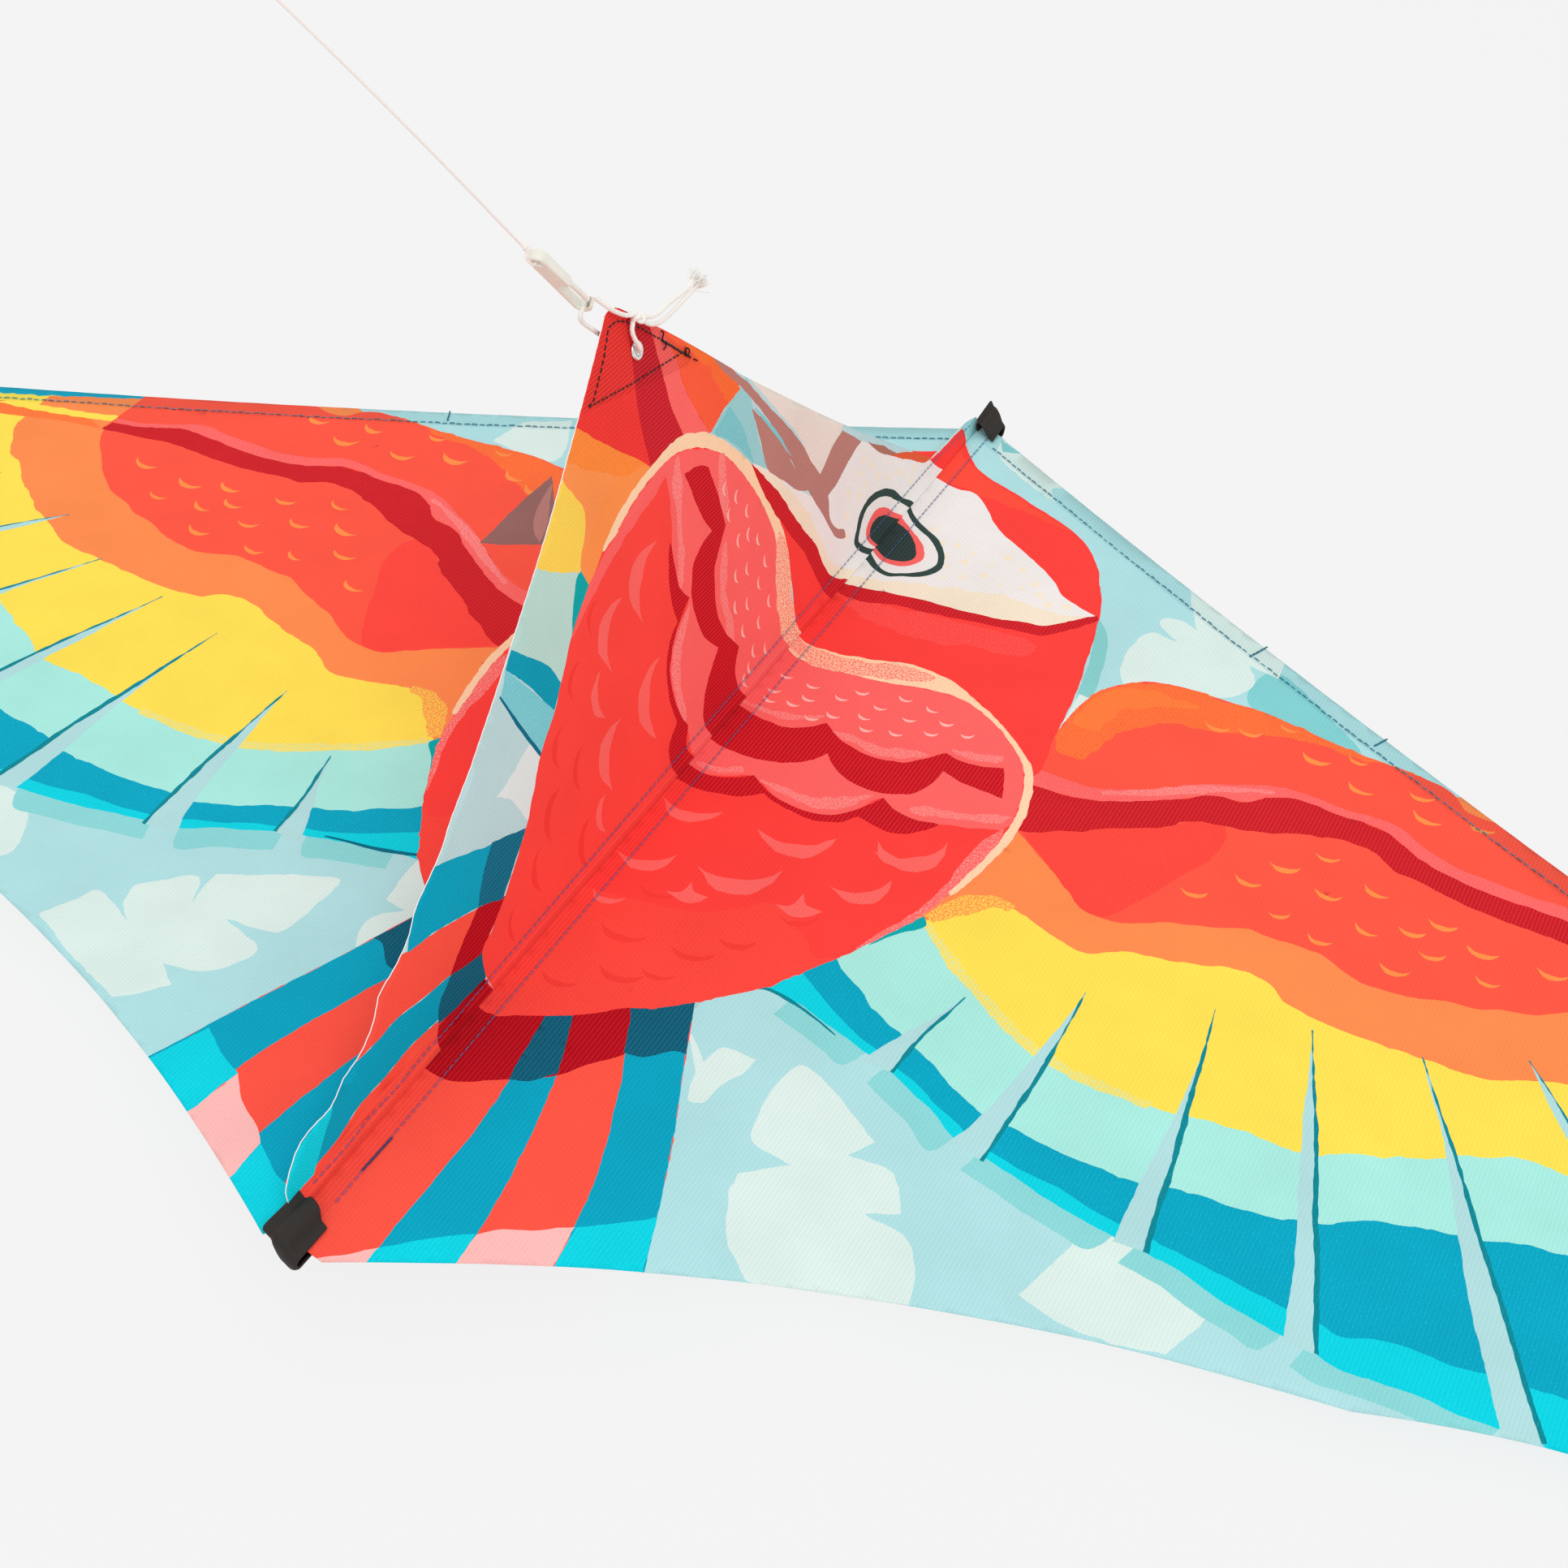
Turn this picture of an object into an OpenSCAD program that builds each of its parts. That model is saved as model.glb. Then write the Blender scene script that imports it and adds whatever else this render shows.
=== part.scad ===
// Diamond kite with a keel, a tow loop, a snap clip and a flying line.
// Millimetres. +Y points to the nose, +X to the right wing, +Z up on the keel side.
// The kite lies keel up on its wing tips, and the keel leans the way the line pulls it.

/* [Sail] */
// Distance from the spine's tail end to its nose end
spine_length = 626; // [500:1:900]
// Height of the leading edges where they meet the spine
nose_v = 614; // [450:1:880]
// Half the span, from the spine to a wing tip
half_span = 589; // [400:1:900]
// Height of a wing tip above the tail end
tip_v = 352; // [200:1:600]
// How far a leading edge bows inwards from a straight line
leading_bow = 11.3; // [4:0.1:30]
// Angle by which each wing drops below the spine
dihedral = 3; // [1:0.5:12]
// Thickness of the cloth
cloth = 0.5; // [0.3:0.1:1]
// Width of the sewn leading edge hem
hem_width = 12; // [9:0.5:20]

/* [Keel] */
// Distance of the keel seam from the middle of the spine
seam = 8; // [6:0.5:12]
// Angle by which the keel leans to the left
keel_lean = 17; // [0:1:40]
// Radius of the hole in the eyelet
eyelet_hole = 2.2; // [1.5:0.1:4]
// Outer radius of the eyelet
eyelet_rim = 4.2; // [3:0.1:7]

/* [Rods] */
// Radius of the spine rod
spine_rod_r = 1.5; // [1:0.1:3]
// Radius of the two spreader rods
spreader_r = 1.5; // [1:0.1:3]
// Radius of the two leading edge rods
leading_rod_r = 1.25; // [0.8:0.05:3]
// Height of the spreader above the tail end
spreader_v = 505; // [400:1:560]
// Distance of a leading edge connector from the spine
connector_u = 213; // [150:1:300]

/* [Line] */
// Radius of the tow loop's cord
loop_r = 1.1; // [0.7:0.1:2]
// Radius of the flying line
line_r = 0.5; // [0.4:0.05:1]
// Length of the flying line beyond the clip
line_length = 195; // [100:5:400]
// Thickness of the snap clip
clip_thick = 4.6; // [3:0.1:8]

/* [Hidden] */
// Offset that puts the row's origin under the middle of the kite
shift = [0, -312, 35.22];
// Height at which a wing starts to drop
fold_u = 12;
// Depth of the rods' middles below the cloth
rod_depth = 3;
// Chord of a leading edge and its arc
chord = norm([half_span, tip_v - nose_v]);
chord_dir = [half_span, tip_v - nose_v] / chord;
arc_r = chord * chord / (8 * leading_bow) + leading_bow / 2;
arc_mid = [half_span / 2, (nose_v + tip_v) / 2];
arc_centre = arc_mid + (arc_r - leading_bow) * [-chord_dir[1], chord_dir[0]];
arc_half = asin(chord / 2 / arc_r);
arc_turn = 270 + atan2(chord_dir[1], chord_dir[0]);
// Angles on the arc, from the nose outwards, at which hem and rod start and stop
hem_start = arc_turn - arc_half + 0.17;
gap_start = arc_turn - arc_half + 2.5;
gap_end = arc_turn - arc_half + 3.42;
hem_end = arc_turn + arc_half - 0.03;
rod_start = arc_turn - arc_half + 0.24;
rod_end = arc_turn + arc_half - 0.1;
// Where the tow loop's knot, the clip's hook and the line lie in the keel's plane
eyelet_at = [332.9, 172.3];
hook_at = [305.5, 205];
clip_tilt = 38;

// Points of an arc from a to b that bulges by bow to the left of the way from a to b
function bulge(a, b, bow, n) = [
  for (i = [0 : n - 1])
    let (t = i / n, d = b - a, side = [-d[1], d[0]] / norm(d))
      a + d * t + side * 4 * bow * t * (1 - t)
];

// Height of the leading edge above the tail end, at a distance u from the spine
function lead_v(u) = arc_centre[1] - sqrt(arc_r * arc_r - pow(arc_centre[0] - u, 2));

// Points of the leading edge from the tip back to a distance u0
function lead_edge(u0, n) = [
  for (i = [0 : n]) let (u = half_span + (u0 - half_span) * i / n) [u, lead_v(u)]
];

// Outline of a wing from the fold outwards: three scallops and the leading edge
wing_outline = concat(
  bulge([fold_u, 3], [338, 135], 17, 12),
  bulge([338, 135], [470, 168], 5, 5),
  bulge([470, 168], [545, 234], 6, 4),
  bulge([545, 234], [half_span, tip_v], 8, 4),
  lead_edge(fold_u, 16)
);

// Outline of the keel, height above the tail end against distance from the seam
keel_outline = concat(
  [[26, 0.6], [26, 14]],
  bulge([60, 23], [316.5, 193.5], -10, 10),
  [[316.5, 193.5], [322, 194.1]],
  bulge([328, 190.8], [560, 9], -4, 8),
  [[560, 9], [604, 2], [604, 0.6]]
);

module in_row() { translate(shift) children(); }

// Frame of the right wing, dropped by the dihedral beyond the fold
module in_wing() {
  in_row() translate([fold_u, 0, 0]) rotate([0, dihedral, 0]) translate([-fold_u, 0, 0]) children();
}

// Left-hand pieces mirror the right-hand ones
module flip() { mirror([1, 0, 0]) children(); }

// Frame of the keel: X out of its right face, Y to the nose, Z away from the seam
module in_keel() { in_row() translate([-seam, 0, 0.3]) rotate([0, -keel_lean, 0]) children(); }

// A sheet standing in the keel's plane between two distances from it
module keel_sheet(x0, x1) {
  translate([x0, 0, 0]) rotate([90, 0, 90]) linear_extrude(x1 - x0) children();
}

// Frame of the clip: X along it towards the line, Z across the keel's plane
module in_clip() {
  in_keel() translate([0, hook_at[0], hook_at[1]]) rotate([clip_tilt - 90, 0, 0]) rotate([0, 0, -90])
    children();
}

// Profile of the sleeve round a leading edge rod: distance from the arc's centre and height
module sleeve_profile(wall) {
  difference() {
    union() {
      translate([arc_r + 2.9, -rod_depth]) circle(r = 2.2, $fn = 32);
      polygon([[arc_r + 0.7, -rod_depth], [arc_r + 0.7, 0], [arc_r + hem_width, 0],
        [arc_r + hem_width, -0.75], [arc_r + 4.3, -rod_depth - 1.7]]);
    }
    translate([arc_r + 2.9, -rod_depth]) circle(r = 2.2 - wall, $fn = 32);
    polygon([[arc_r + 0.7 + wall, -rod_depth], [arc_r + 0.7 + wall, -0.3],
      [arc_r + hem_width - 2.5, -0.3], [arc_r + hem_width - 2.5, -0.6],
      [arc_r + 3.9, -rod_depth - 1.35]]);
  }
}

// Sweeps a profile along the leading edge between two angles
module along_edge(a0, a1) {
  translate([arc_centre[0], arc_centre[1], 0]) rotate([0, 0, a0])
    rotate_extrude(angle = a1 - a0, $fn = 720) children();
}

module wing_cloth(inner) {
  in_row() translate([inner, 0, -cloth / 2]) linear_extrude(cloth)
    polygon([[0, 7], [fold_u - inner + 0.1, 7], [fold_u - inner + 0.1, 607], [0, 610]]);
  in_wing() translate([0, 0, -cloth / 2]) linear_extrude(cloth) polygon(wing_outline);
  in_wing() along_edge(hem_start, gap_start) sleeve_profile(0.4);
  in_wing() along_edge(gap_end, hem_end) sleeve_profile(0.4);
}

module sail_right() { color([0.95, 0.25, 0.22]) wing_cloth(-seam + 0.2); }

module sail_left() { color([0.95, 0.3, 0.22]) flip() wing_cloth(seam + 0.2); }

// Tape on the back that holds the spine rod, with a window for the centre fitting
module spine_sleeve() {
  color([0.6, 0.85, 0.88]) in_row() difference() {
    translate([0, 606.5, 0]) rotate([90, 0, 0]) linear_extrude(580) difference() {
      union() {
        translate([-10, -0.95]) square([20, 0.4]);
        translate([0, -rod_depth]) circle(r = 2.3, $fn = 40);
        translate([-2.3, -rod_depth]) square([4.6, rod_depth - 0.55]);
      }
      translate([0, -rod_depth]) circle(r = 1.85, $fn = 40);
      translate([-1.85, -rod_depth]) square([3.7, rod_depth]);
    }
    translate([-6, spreader_v - 14, -12]) cube([12, 28, 14]);
  }
}

module spine_rod() {
  color([0.12, 0.12, 0.13]) in_row() translate([0, spine_length - 4, -rod_depth]) rotate([90, 0, 0])
    cylinder(h = spine_length - 8, r = spine_rod_r, $fn = 40);
}

// Moulded cap on a rod's end: a blind tube, mouth at z = 0
module end_cap(rod, wall, deep) {
  difference() {
    translate([0, 0, -deep]) cylinder(h = deep + 1, r = rod + wall, $fn = 40);
    translate([0, 0, -deep - 1]) cylinder(h = deep + 1, r = rod + 0.03, $fn = 40);
  }
}

module spine_cap_nose() {
  color([0.2, 0.2, 0.2]) in_row() translate([0, spine_length - 3.9, -rod_depth]) rotate([-90, 0, 0])
    end_cap(spine_rod_r, 0.7, 8);
}

module spine_cap_tail() {
  color([0.2, 0.2, 0.2]) in_row() translate([0, 3.9, -rod_depth]) rotate([90, 0, 0])
    end_cap(spine_rod_r, 0.7, 8);
}

// Tape folded round an end of the spine, over the cloth and under the rod
module end_tab(v_in, v_out) {
  s = sign(v_out - v_in);
  color([0.13, 0.12, 0.12]) in_row() rotate([90, 0, 90]) translate([0, 0, -10]) linear_extrude(20)
    polygon([[v_in, 0.6], [v_in, 1.2], [v_out - s, 1.2], [v_out, 0.2], [v_out, -6.2],
      [v_out - s, -7.2], [v_in, -7.2], [v_in, -6.6], [v_out - s * 1.2, -6.6],
      [v_out - s * 0.6, -6], [v_out - s * 0.6, 0], [v_out - s * 1.2, 0.6]]);
}

module nose_tab() { end_tab(608, spine_length + 1); }

module tail_tab() { end_tab(25, -3); }

// Moulded cross on the spine rod that takes both spreader rods
module centre_fitting() {
  color([0.1, 0.1, 0.11]) in_row() difference() {
    union() {
      translate([0, spreader_v + 11, -rod_depth - 0.2]) rotate([90, 0, 0]) cylinder(h = 22, r = 2.3, $fn = 48);
      translate([-2.3, spreader_v - 11, -8]) cube([4.6, 22, 5]);
      for (m = [0, 1]) mirror([m, 0, 0]) translate([0, spreader_v, -8.3]) rotate([0, 90 + dihedral, 0])
        cylinder(h = 16, r = 2.8, $fn = 48);
    }
    translate([0, spreader_v + 12, -rod_depth]) rotate([90, 0, 0])
      cylinder(h = 24, r = spine_rod_r + 0.03, $fn = 48);
    for (m = [0, 1]) mirror([m, 0, 0]) translate([0, spreader_v, -8.3]) rotate([0, 90 + dihedral, 0])
      translate([0, 0, 3]) cylinder(h = 20, r = spreader_r + 0.03, $fn = 48);
  }
}

// Spreader rod from the centre fitting to the connector on the leading edge
module spreader() {
  in_row() translate([0, spreader_v, -8.3]) rotate([0, 90 + dihedral, 0]) translate([0, 0, 3.1])
    cylinder(h = connector_u - 10.1, r = spreader_r, $fn = 40);
}

module spreader_right() { color([0.12, 0.12, 0.13]) spreader(); }

module spreader_left() { color([0.12, 0.12, 0.13]) flip() spreader(); }

// Frame on the leading edge rod at the connector: Y along the rod, away from the nose
module at_connector() {
  in_wing() translate([arc_centre[0], arc_centre[1], -rod_depth])
    rotate([0, 0, (gap_start + gap_end) / 2]) translate([arc_r + 2.9, 0, 0]) children();
}

// Moulded connector: a tube on the leading edge rod and a socket for the spreader
module connector() {
  difference() {
    union() {
      at_connector() translate([0, 9, 0]) rotate([90, 0, 0]) cylinder(h = 18, r = 2.5, $fn = 48);
      in_row() translate([0, spreader_v, -8.3]) rotate([0, 90 + dihedral, 0]) translate([0, 0, connector_u - 20])
        cylinder(h = 22, r = 2.8, $fn = 48);
      at_connector() translate([-2, -4, -5.2]) cube([4, 8, 5.2]);
    }
    at_connector() translate([0, 12, 0]) rotate([90, 0, 0])
      cylinder(h = 24, r = leading_rod_r + 0.05, $fn = 48);
    in_row() translate([0, spreader_v, -8.3]) rotate([0, 90 + dihedral, 0]) translate([0, 0, connector_u - 22])
      cylinder(h = 15.1, r = spreader_r + 0.03, $fn = 48);
  }
}

module connector_right() { color([0.1, 0.1, 0.11]) connector(); }

module connector_left() { color([0.1, 0.1, 0.11]) flip() connector(); }

module leading_rod() {
  in_wing() along_edge(rod_start, rod_end)
    translate([arc_r + 2.9, -rod_depth]) circle(r = leading_rod_r, $fn = 32);
}

module leading_rod_right() { color([0.85, 0.83, 0.75]) leading_rod(); }

module leading_rod_left() { color([0.85, 0.83, 0.75]) flip() leading_rod(); }

// Cap on the outer end of a leading edge rod
module wing_cap() {
  in_wing() translate([arc_centre[0], arc_centre[1], -rod_depth]) rotate([0, 0, rod_end])
    translate([arc_r + 2.9, 0, 0]) rotate([-90, 0, 0]) translate([0, 0, 0.1]) end_cap(leading_rod_r, 0.35, 6);
}

module wing_cap_right() { color([0.2, 0.2, 0.2]) wing_cap(); }

module wing_cap_left() { color([0.2, 0.2, 0.2]) flip() wing_cap(); }

module eyelet_cut() {
  in_keel() translate([-2, eyelet_at[0], eyelet_at[1]]) rotate([0, 90, 0]) cylinder(h = 4, r = eyelet_hole + 0.4, $fn = 48);
}

module keel() {
  color([0.95, 0.28, 0.25]) difference() {
    in_keel() keel_sheet(-cloth / 2, cloth / 2) polygon(keel_outline);
    eyelet_cut();
  }
}

// Second layer of cloth on the keel's left face at the tow point
module keel_patch() {
  color([0.75, 0.15, 0.15]) difference() {
    in_keel() keel_sheet(-0.8, -0.3)
      polygon([[287, 167], [316.5, 190.5], [321, 191], [330, 184], [370, 153], [359, 152]]);
    eyelet_cut();
  }
}

// Eyelet: rolled rim on the right face and a tube through both layers
module eyelet() {
  color([0.8, 0.8, 0.82]) in_keel() translate([0, eyelet_at[0], eyelet_at[1]]) rotate([0, 90, 0])
    rotate_extrude($fn = 64) union() {
      translate([eyelet_hole, -1.5]) square([0.3, 1.9]);
      translate([eyelet_hole, 0.3]) square([eyelet_rim - eyelet_hole - 0.3, 0.5]);
      translate([eyelet_rim - 0.35, 0.6]) circle(r = 0.3, $fn = 24);
    }
}

module eyelet_washer() {
  color([0.8, 0.8, 0.82]) in_keel() translate([0, eyelet_at[0], eyelet_at[1]]) rotate([0, 90, 0])
    rotate_extrude($fn = 64) translate([eyelet_hole + 0.32, -1.35]) square([1.6, 0.45]);
}

// Direction of a path at its point i
function way(p, i) =
  let (d = p[min(i + 1, len(p) - 1)] - p[max(i - 1, 0)]) d / norm(d);

// Side directions along a path, each carried on from the one before so that a tube doesn't twist
function sides(p, i, e) =
  i == len(p) ? [] : let (q = e - (e * way(p, i)) * way(p, i)) concat([q / norm(q)], sides(p, i + 1, q / norm(q)));

// Point of a smooth curve through four points of a path, at k from 0 to 1
function smooth(a, b, c, d, k) =
  0.5 * (2 * b + (c - a) * k + (2 * a - 5 * b + 4 * c - d) * k * k + (3 * b - a - 3 * c + d) * k * k * k);

// A path with m points for each stretch between the points given
function finer(p, m) = [
  for (i = [0 : len(p) - 2]) for (j = [0 : m - 1])
    smooth(p[max(i - 1, 0)], p[i], p[i + 1], p[min(i + 2, len(p) - 1)], j / m),
  p[len(p) - 1]
];

// Plain tube along a path, with n sides
module tube(p, r, n) {
  m = len(p);
  e = sides(p, 0, [0.57, 0.58, -0.58]);
  rings = [
    for (i = [0 : m - 1]) for (j = [0 : n - 1])
      p[i] + r * (cos(360 * j / n) * e[i] + sin(360 * j / n) * cross(way(p, i), e[i]))
  ];
  walls = [
    for (i = [0 : m - 2]) for (j = [0 : n - 1])
      [(i + 1) * n + j, (i + 1) * n + (j + 1) % n, i * n + (j + 1) % n, i * n + j]
  ];
  ends = [[for (j = [0 : n - 1]) j], [for (j = [n - 1 : -1 : 0]) (m - 1) * n + j]];
  polyhedron(rings, concat(walls, ends));
}

// Tow loop: from the knot round the clip's hook, behind the keel, through the eyelet and back
loop_path = [
  [3.8, 334, 187.6], [3.2, 327, 190], [2.8, 320, 195], [2.4, 314.5, 200.5], [1.4, 310.7, 205],
  [0.7, 308.5, 205], [0, 306.6, 203.7], [-0.7, 304.7, 202.1], [-1.7, 304, 199.8],
  [-2.6, 305.8, 196.7], [-3, 312, 190.5], [-3.1, 322, 181], [-3.1, 329.4, 175.3],
  [-2.4, 332, 173.1], [-1, 332.9, 172.3], [1, 332.9, 172.3], [2.4, 332, 173.2],
  [3.1, 330.2, 176.4], [3.2, 328.7, 180], [3.3, 328.4, 183], [3.6, 329.8, 186]
];
// The loop's two loose ends, from the knot to their frayed tips
tail_paths = [
  [[4, 335, 187], [4.2, 341, 183], [4, 349, 181.6], [3.6, 359, 181.5], [3.4, 371, 181], [3.2, 378, 182]],
  [[4, 335, 184.6], [4.4, 340, 180.4], [4.2, 347, 178], [4, 357, 177.6], [4, 370, 178], [3.6, 385, 175]]
];

module tow_loop() {
  color([0.95, 0.94, 0.92]) in_keel() {
    tube(finer(loop_path, 3), loop_r, 8);
    for (p = tail_paths) tube(finer(p, 2), loop_r, 8);
    translate([3.9, 333, 186.4]) sphere(r = 2.9, $fn = 20);
  }
}

// Clip outline in its own plane: a long ring with a mouth on one side
module clip_shape() {
  difference() {
    union() {
      circle(r = 5.5, $fn = 48);
      translate([0, -5.5]) square([34, 11]);
      translate([34, 0]) circle(r = 5.5, $fn = 48);
    }
    circle(r = 3.5, $fn = 36);
    translate([0, -3]) square([16, 6]);
    translate([16, 0]) circle(r = 3, $fn = 36);
    translate([1, 2.5]) square([15.2, 4]);
    translate([34, 0]) circle(r = 1.8, $fn = 32);
  }
}

module clip_hook() {
  color([0.93, 0.92, 0.88]) in_clip() translate([0, 0, -clip_thick / 2]) linear_extrude(clip_thick) clip_shape();
}

// Springy arm that closes the clip's mouth
module clip_gate() {
  color([0.93, 0.92, 0.88]) in_clip() translate([0, 0, -1.8]) linear_extrude(3.6) union() {
    translate([2.3, 3.2]) square([12.7, 2]);
    translate([2.3, 4.2]) circle(r = 1, $fn = 24);
    translate([15, 4.2]) circle(r = 1, $fn = 24);
  }
}

// Flying line: round the clip's eye, through a knot, then away with a slight sag to its end knot
line_path = concat(
  [[42, 0.9, 0.8], [40.6, 0.7, 3], [37.5, 0.5, 3.6], [34.8, 0.3, 3.3], [34.5, 0, 0],
    [34.8, -0.3, -3.3], [37.5, -0.5, -3.6], [40.6, -0.7, -3]],
  [for (i = [0 : 10]) let (t = i / 10) [42 + line_length * t, 0.9 * t - 0.9, 6 * t * (1 - t) + 0.6 * t - 0.6]]
);

module flying_line() {
  color([0.95, 0.93, 0.9]) in_clip() {
    tube(finer(line_path, 2), line_r, 8);
    translate([42, 0, 0]) sphere(r = 1.7, $fn = 20);
    translate([42 + line_length, 0, 0]) sphere(r = 1.5, $fn = 20);
  }
}

sail_right();
sail_left();
spine_sleeve();
spine_rod();
spine_cap_nose();
spine_cap_tail();
nose_tab();
tail_tab();
centre_fitting();
spreader_right();
spreader_left();
connector_right();
connector_left();
leading_rod_right();
leading_rod_left();
wing_cap_right();
wing_cap_left();
keel();
keel_patch();
eyelet();
eyelet_washer();
tow_loop();
clip_hook();
clip_gate();
flying_line();
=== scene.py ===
"""Diamond kite with a parrot print: cloth sheets, seams, tapes, cords and a snap clip round the frame.

Print outlines are in millimetres on the flat cloth: u from the spine outwards, v from the tail end to
the nose. On the keel, u is the distance from the seam plus the seam's own 8 mm. Meshes are in metres."""
import math
import random

import bpy
import numpy as np
from mathutils import Matrix, Vector, noise
from mathutils.geometry import delaunay_2d_cdt


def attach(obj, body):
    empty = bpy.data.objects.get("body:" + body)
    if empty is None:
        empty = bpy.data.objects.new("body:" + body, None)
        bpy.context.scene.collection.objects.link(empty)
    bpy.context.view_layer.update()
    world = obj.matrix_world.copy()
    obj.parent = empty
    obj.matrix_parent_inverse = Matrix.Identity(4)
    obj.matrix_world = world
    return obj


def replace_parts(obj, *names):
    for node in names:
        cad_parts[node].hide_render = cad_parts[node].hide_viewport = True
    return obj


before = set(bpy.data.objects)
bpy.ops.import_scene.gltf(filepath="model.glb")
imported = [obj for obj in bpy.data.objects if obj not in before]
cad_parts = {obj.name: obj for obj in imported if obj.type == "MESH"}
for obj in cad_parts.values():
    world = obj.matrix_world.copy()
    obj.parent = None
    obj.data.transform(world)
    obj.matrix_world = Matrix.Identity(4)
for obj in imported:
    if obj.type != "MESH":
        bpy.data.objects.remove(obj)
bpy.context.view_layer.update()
MM = 0.001

# ---------------------------------------------------------------- sizes, as in part.scad, in millimetres
SHIFT = Vector((0, -312, 35.22))
NOSE_V, HALF_SPAN, TIP_V, BOW = 614, 589, 352, 11.3
FOLD_U, SEAM, HEM = 12, 8, 12
CLOTH, KEEL_CLOTH = 0.25, 0.3
DROP, LEAN, CLIP_TILT = math.radians(3), math.radians(17), math.radians(38)
EYELET, HOOK = (332.9, 172.3), (305.5, 205.0)

CHORD = Vector((HALF_SPAN, TIP_V - NOSE_V))
ARC_R = CHORD.length ** 2 / (8 * BOW) + BOW / 2
ALONG = CHORD.normalized()
ARC_C = Vector((HALF_SPAN / 2, (NOSE_V + TIP_V) / 2)) + (ARC_R - BOW) * Vector((-ALONG.y, ALONG.x))


def lead_v(u):
    """Height of the leading edge at a distance u from the spine."""
    return ARC_C.y - math.sqrt(ARC_R ** 2 - (ARC_C.x - u) ** 2)


def from_edge(u, v):
    """Distance of a point of the sail from the leading edge."""
    return math.hypot(u - ARC_C.x, v - ARC_C.y) - ARC_R


def bulge(a, b, bow, n):
    """Points of an arc from a to b, b left out."""
    a, b = Vector(a), Vector(b)
    side = Vector((a.y - b.y, b.x - a.x)).normalized()
    return [tuple(a.lerp(b, i / n) + side * (4 * bow * (i / n) * (1 - i / n))) for i in range(n)]


# ---------------------------------------------------------------- camera
camera = bpy.data.objects.new("camera", bpy.data.cameras.new("camera"))
bpy.context.collection.objects.link(camera)
camera.data.sensor_width = 36
camera.data.lens = 57.76
camera.data.clip_end = 20
RIGHT = Vector((0.892607, 0.443581, 0.080555))
DOWN = Vector((0.342185, -0.550251, -0.761665))
camera.matrix_world = Matrix.Translation(Vector((343.15, -748.93, 712.46)) * MM) @ Matrix(
    (RIGHT, -DOWN, -RIGHT.cross(DOWN))).transposed().to_4x4()
bpy.context.scene.camera = camera


# ---------------------------------------------------------------- places on the kite, in metres
def wing_point(u, v, side=1, lift=0.0):
    """Point of a wing's front face at (u, v); side is 1 for the right wing and -1 for the left."""
    if u > FOLD_U:
        x = FOLD_U + (u - FOLD_U) * math.cos(DROP) + lift * math.sin(DROP)
        z = -(u - FOLD_U) * math.sin(DROP) + lift * math.cos(DROP)
    else:
        x, z = u, lift
    return (Vector((side * x, v, z)) + SHIFT) * MM


def keel_point(n, v, w):
    """Point of the keel: n out of its right face, v towards the nose, w away from the seam."""
    x = -SEAM + n * math.cos(LEAN) - w * math.sin(LEAN)
    z = 0.3 + n * math.sin(LEAN) + w * math.cos(LEAN)
    return (Vector((x, v, z)) + SHIFT) * MM


def clip_point(x, y, z):
    """Point of the clip: x along it towards the line, y out of the keel's right face."""
    s, c = math.sin(CLIP_TILT), math.cos(CLIP_TILT)
    return keel_point(y, HOOK[0] - x * s + z * c, HOOK[1] + x * c + z * s)


# ---------------------------------------------------------------- materials
def colour(r, g, b):
    """Linear colour of an sRGB value from 0 to 255."""
    lin = [c / 12.92 if c <= 0.04045 else ((c + 0.055) / 1.055) ** 2.4 for c in (r / 255, g / 255, b / 255)]
    return (*lin, 1.0)


def new_material(name, base=(1, 1, 1, 1), rough=0.6, metal=0.0):
    """A material and the tools to add nodes to it."""
    m = bpy.data.materials.new(name)
    m.use_nodes = True
    tree = m.node_tree
    shader = tree.nodes["Principled BSDF"]
    shader.inputs["Base Color"].default_value = base
    shader.inputs["Roughness"].default_value = rough
    shader.inputs["Metallic"].default_value = metal
    return m, tree, shader


def add(tree, kind, links=(), **values):
    """Adds a node; links join its inputs to other nodes' outputs, values set its fields and inputs."""
    node = tree.nodes.new(kind)
    for key, value in values.items():
        if hasattr(node, key):
            setattr(node, key, value)
        else:
            node.inputs[key.replace("_", " ")].default_value = value
    for key, output in dict(links).items():
        tree.links.new(output, node.inputs[key])
    return node


def maths(tree, operation, a, b=None):
    """A Math node of one operation on sockets or numbers."""
    node = tree.nodes.new("ShaderNodeMath")
    node.operation = operation
    for i, x in enumerate((a, b)):
        if x is None:
            continue
        if isinstance(x, (int, float)):
            node.inputs[i].default_value = x
        else:
            tree.links.new(x, node.inputs[i])
    return node.outputs[0]


def mix(tree, amount, a, b, blend="MIX"):
    """A colour mix of sockets or colours."""
    node = tree.nodes.new("ShaderNodeMix")
    node.data_type = "RGBA"
    node.blend_type = blend
    node.clamp_result = False
    for socket, x in ((node.inputs[0], amount), (node.inputs[6], a), (node.inputs[7], b)):
        if isinstance(x, (int, float, tuple)):
            socket.default_value = x
        else:
            tree.links.new(x, socket)
    return node.outputs[2]


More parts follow.
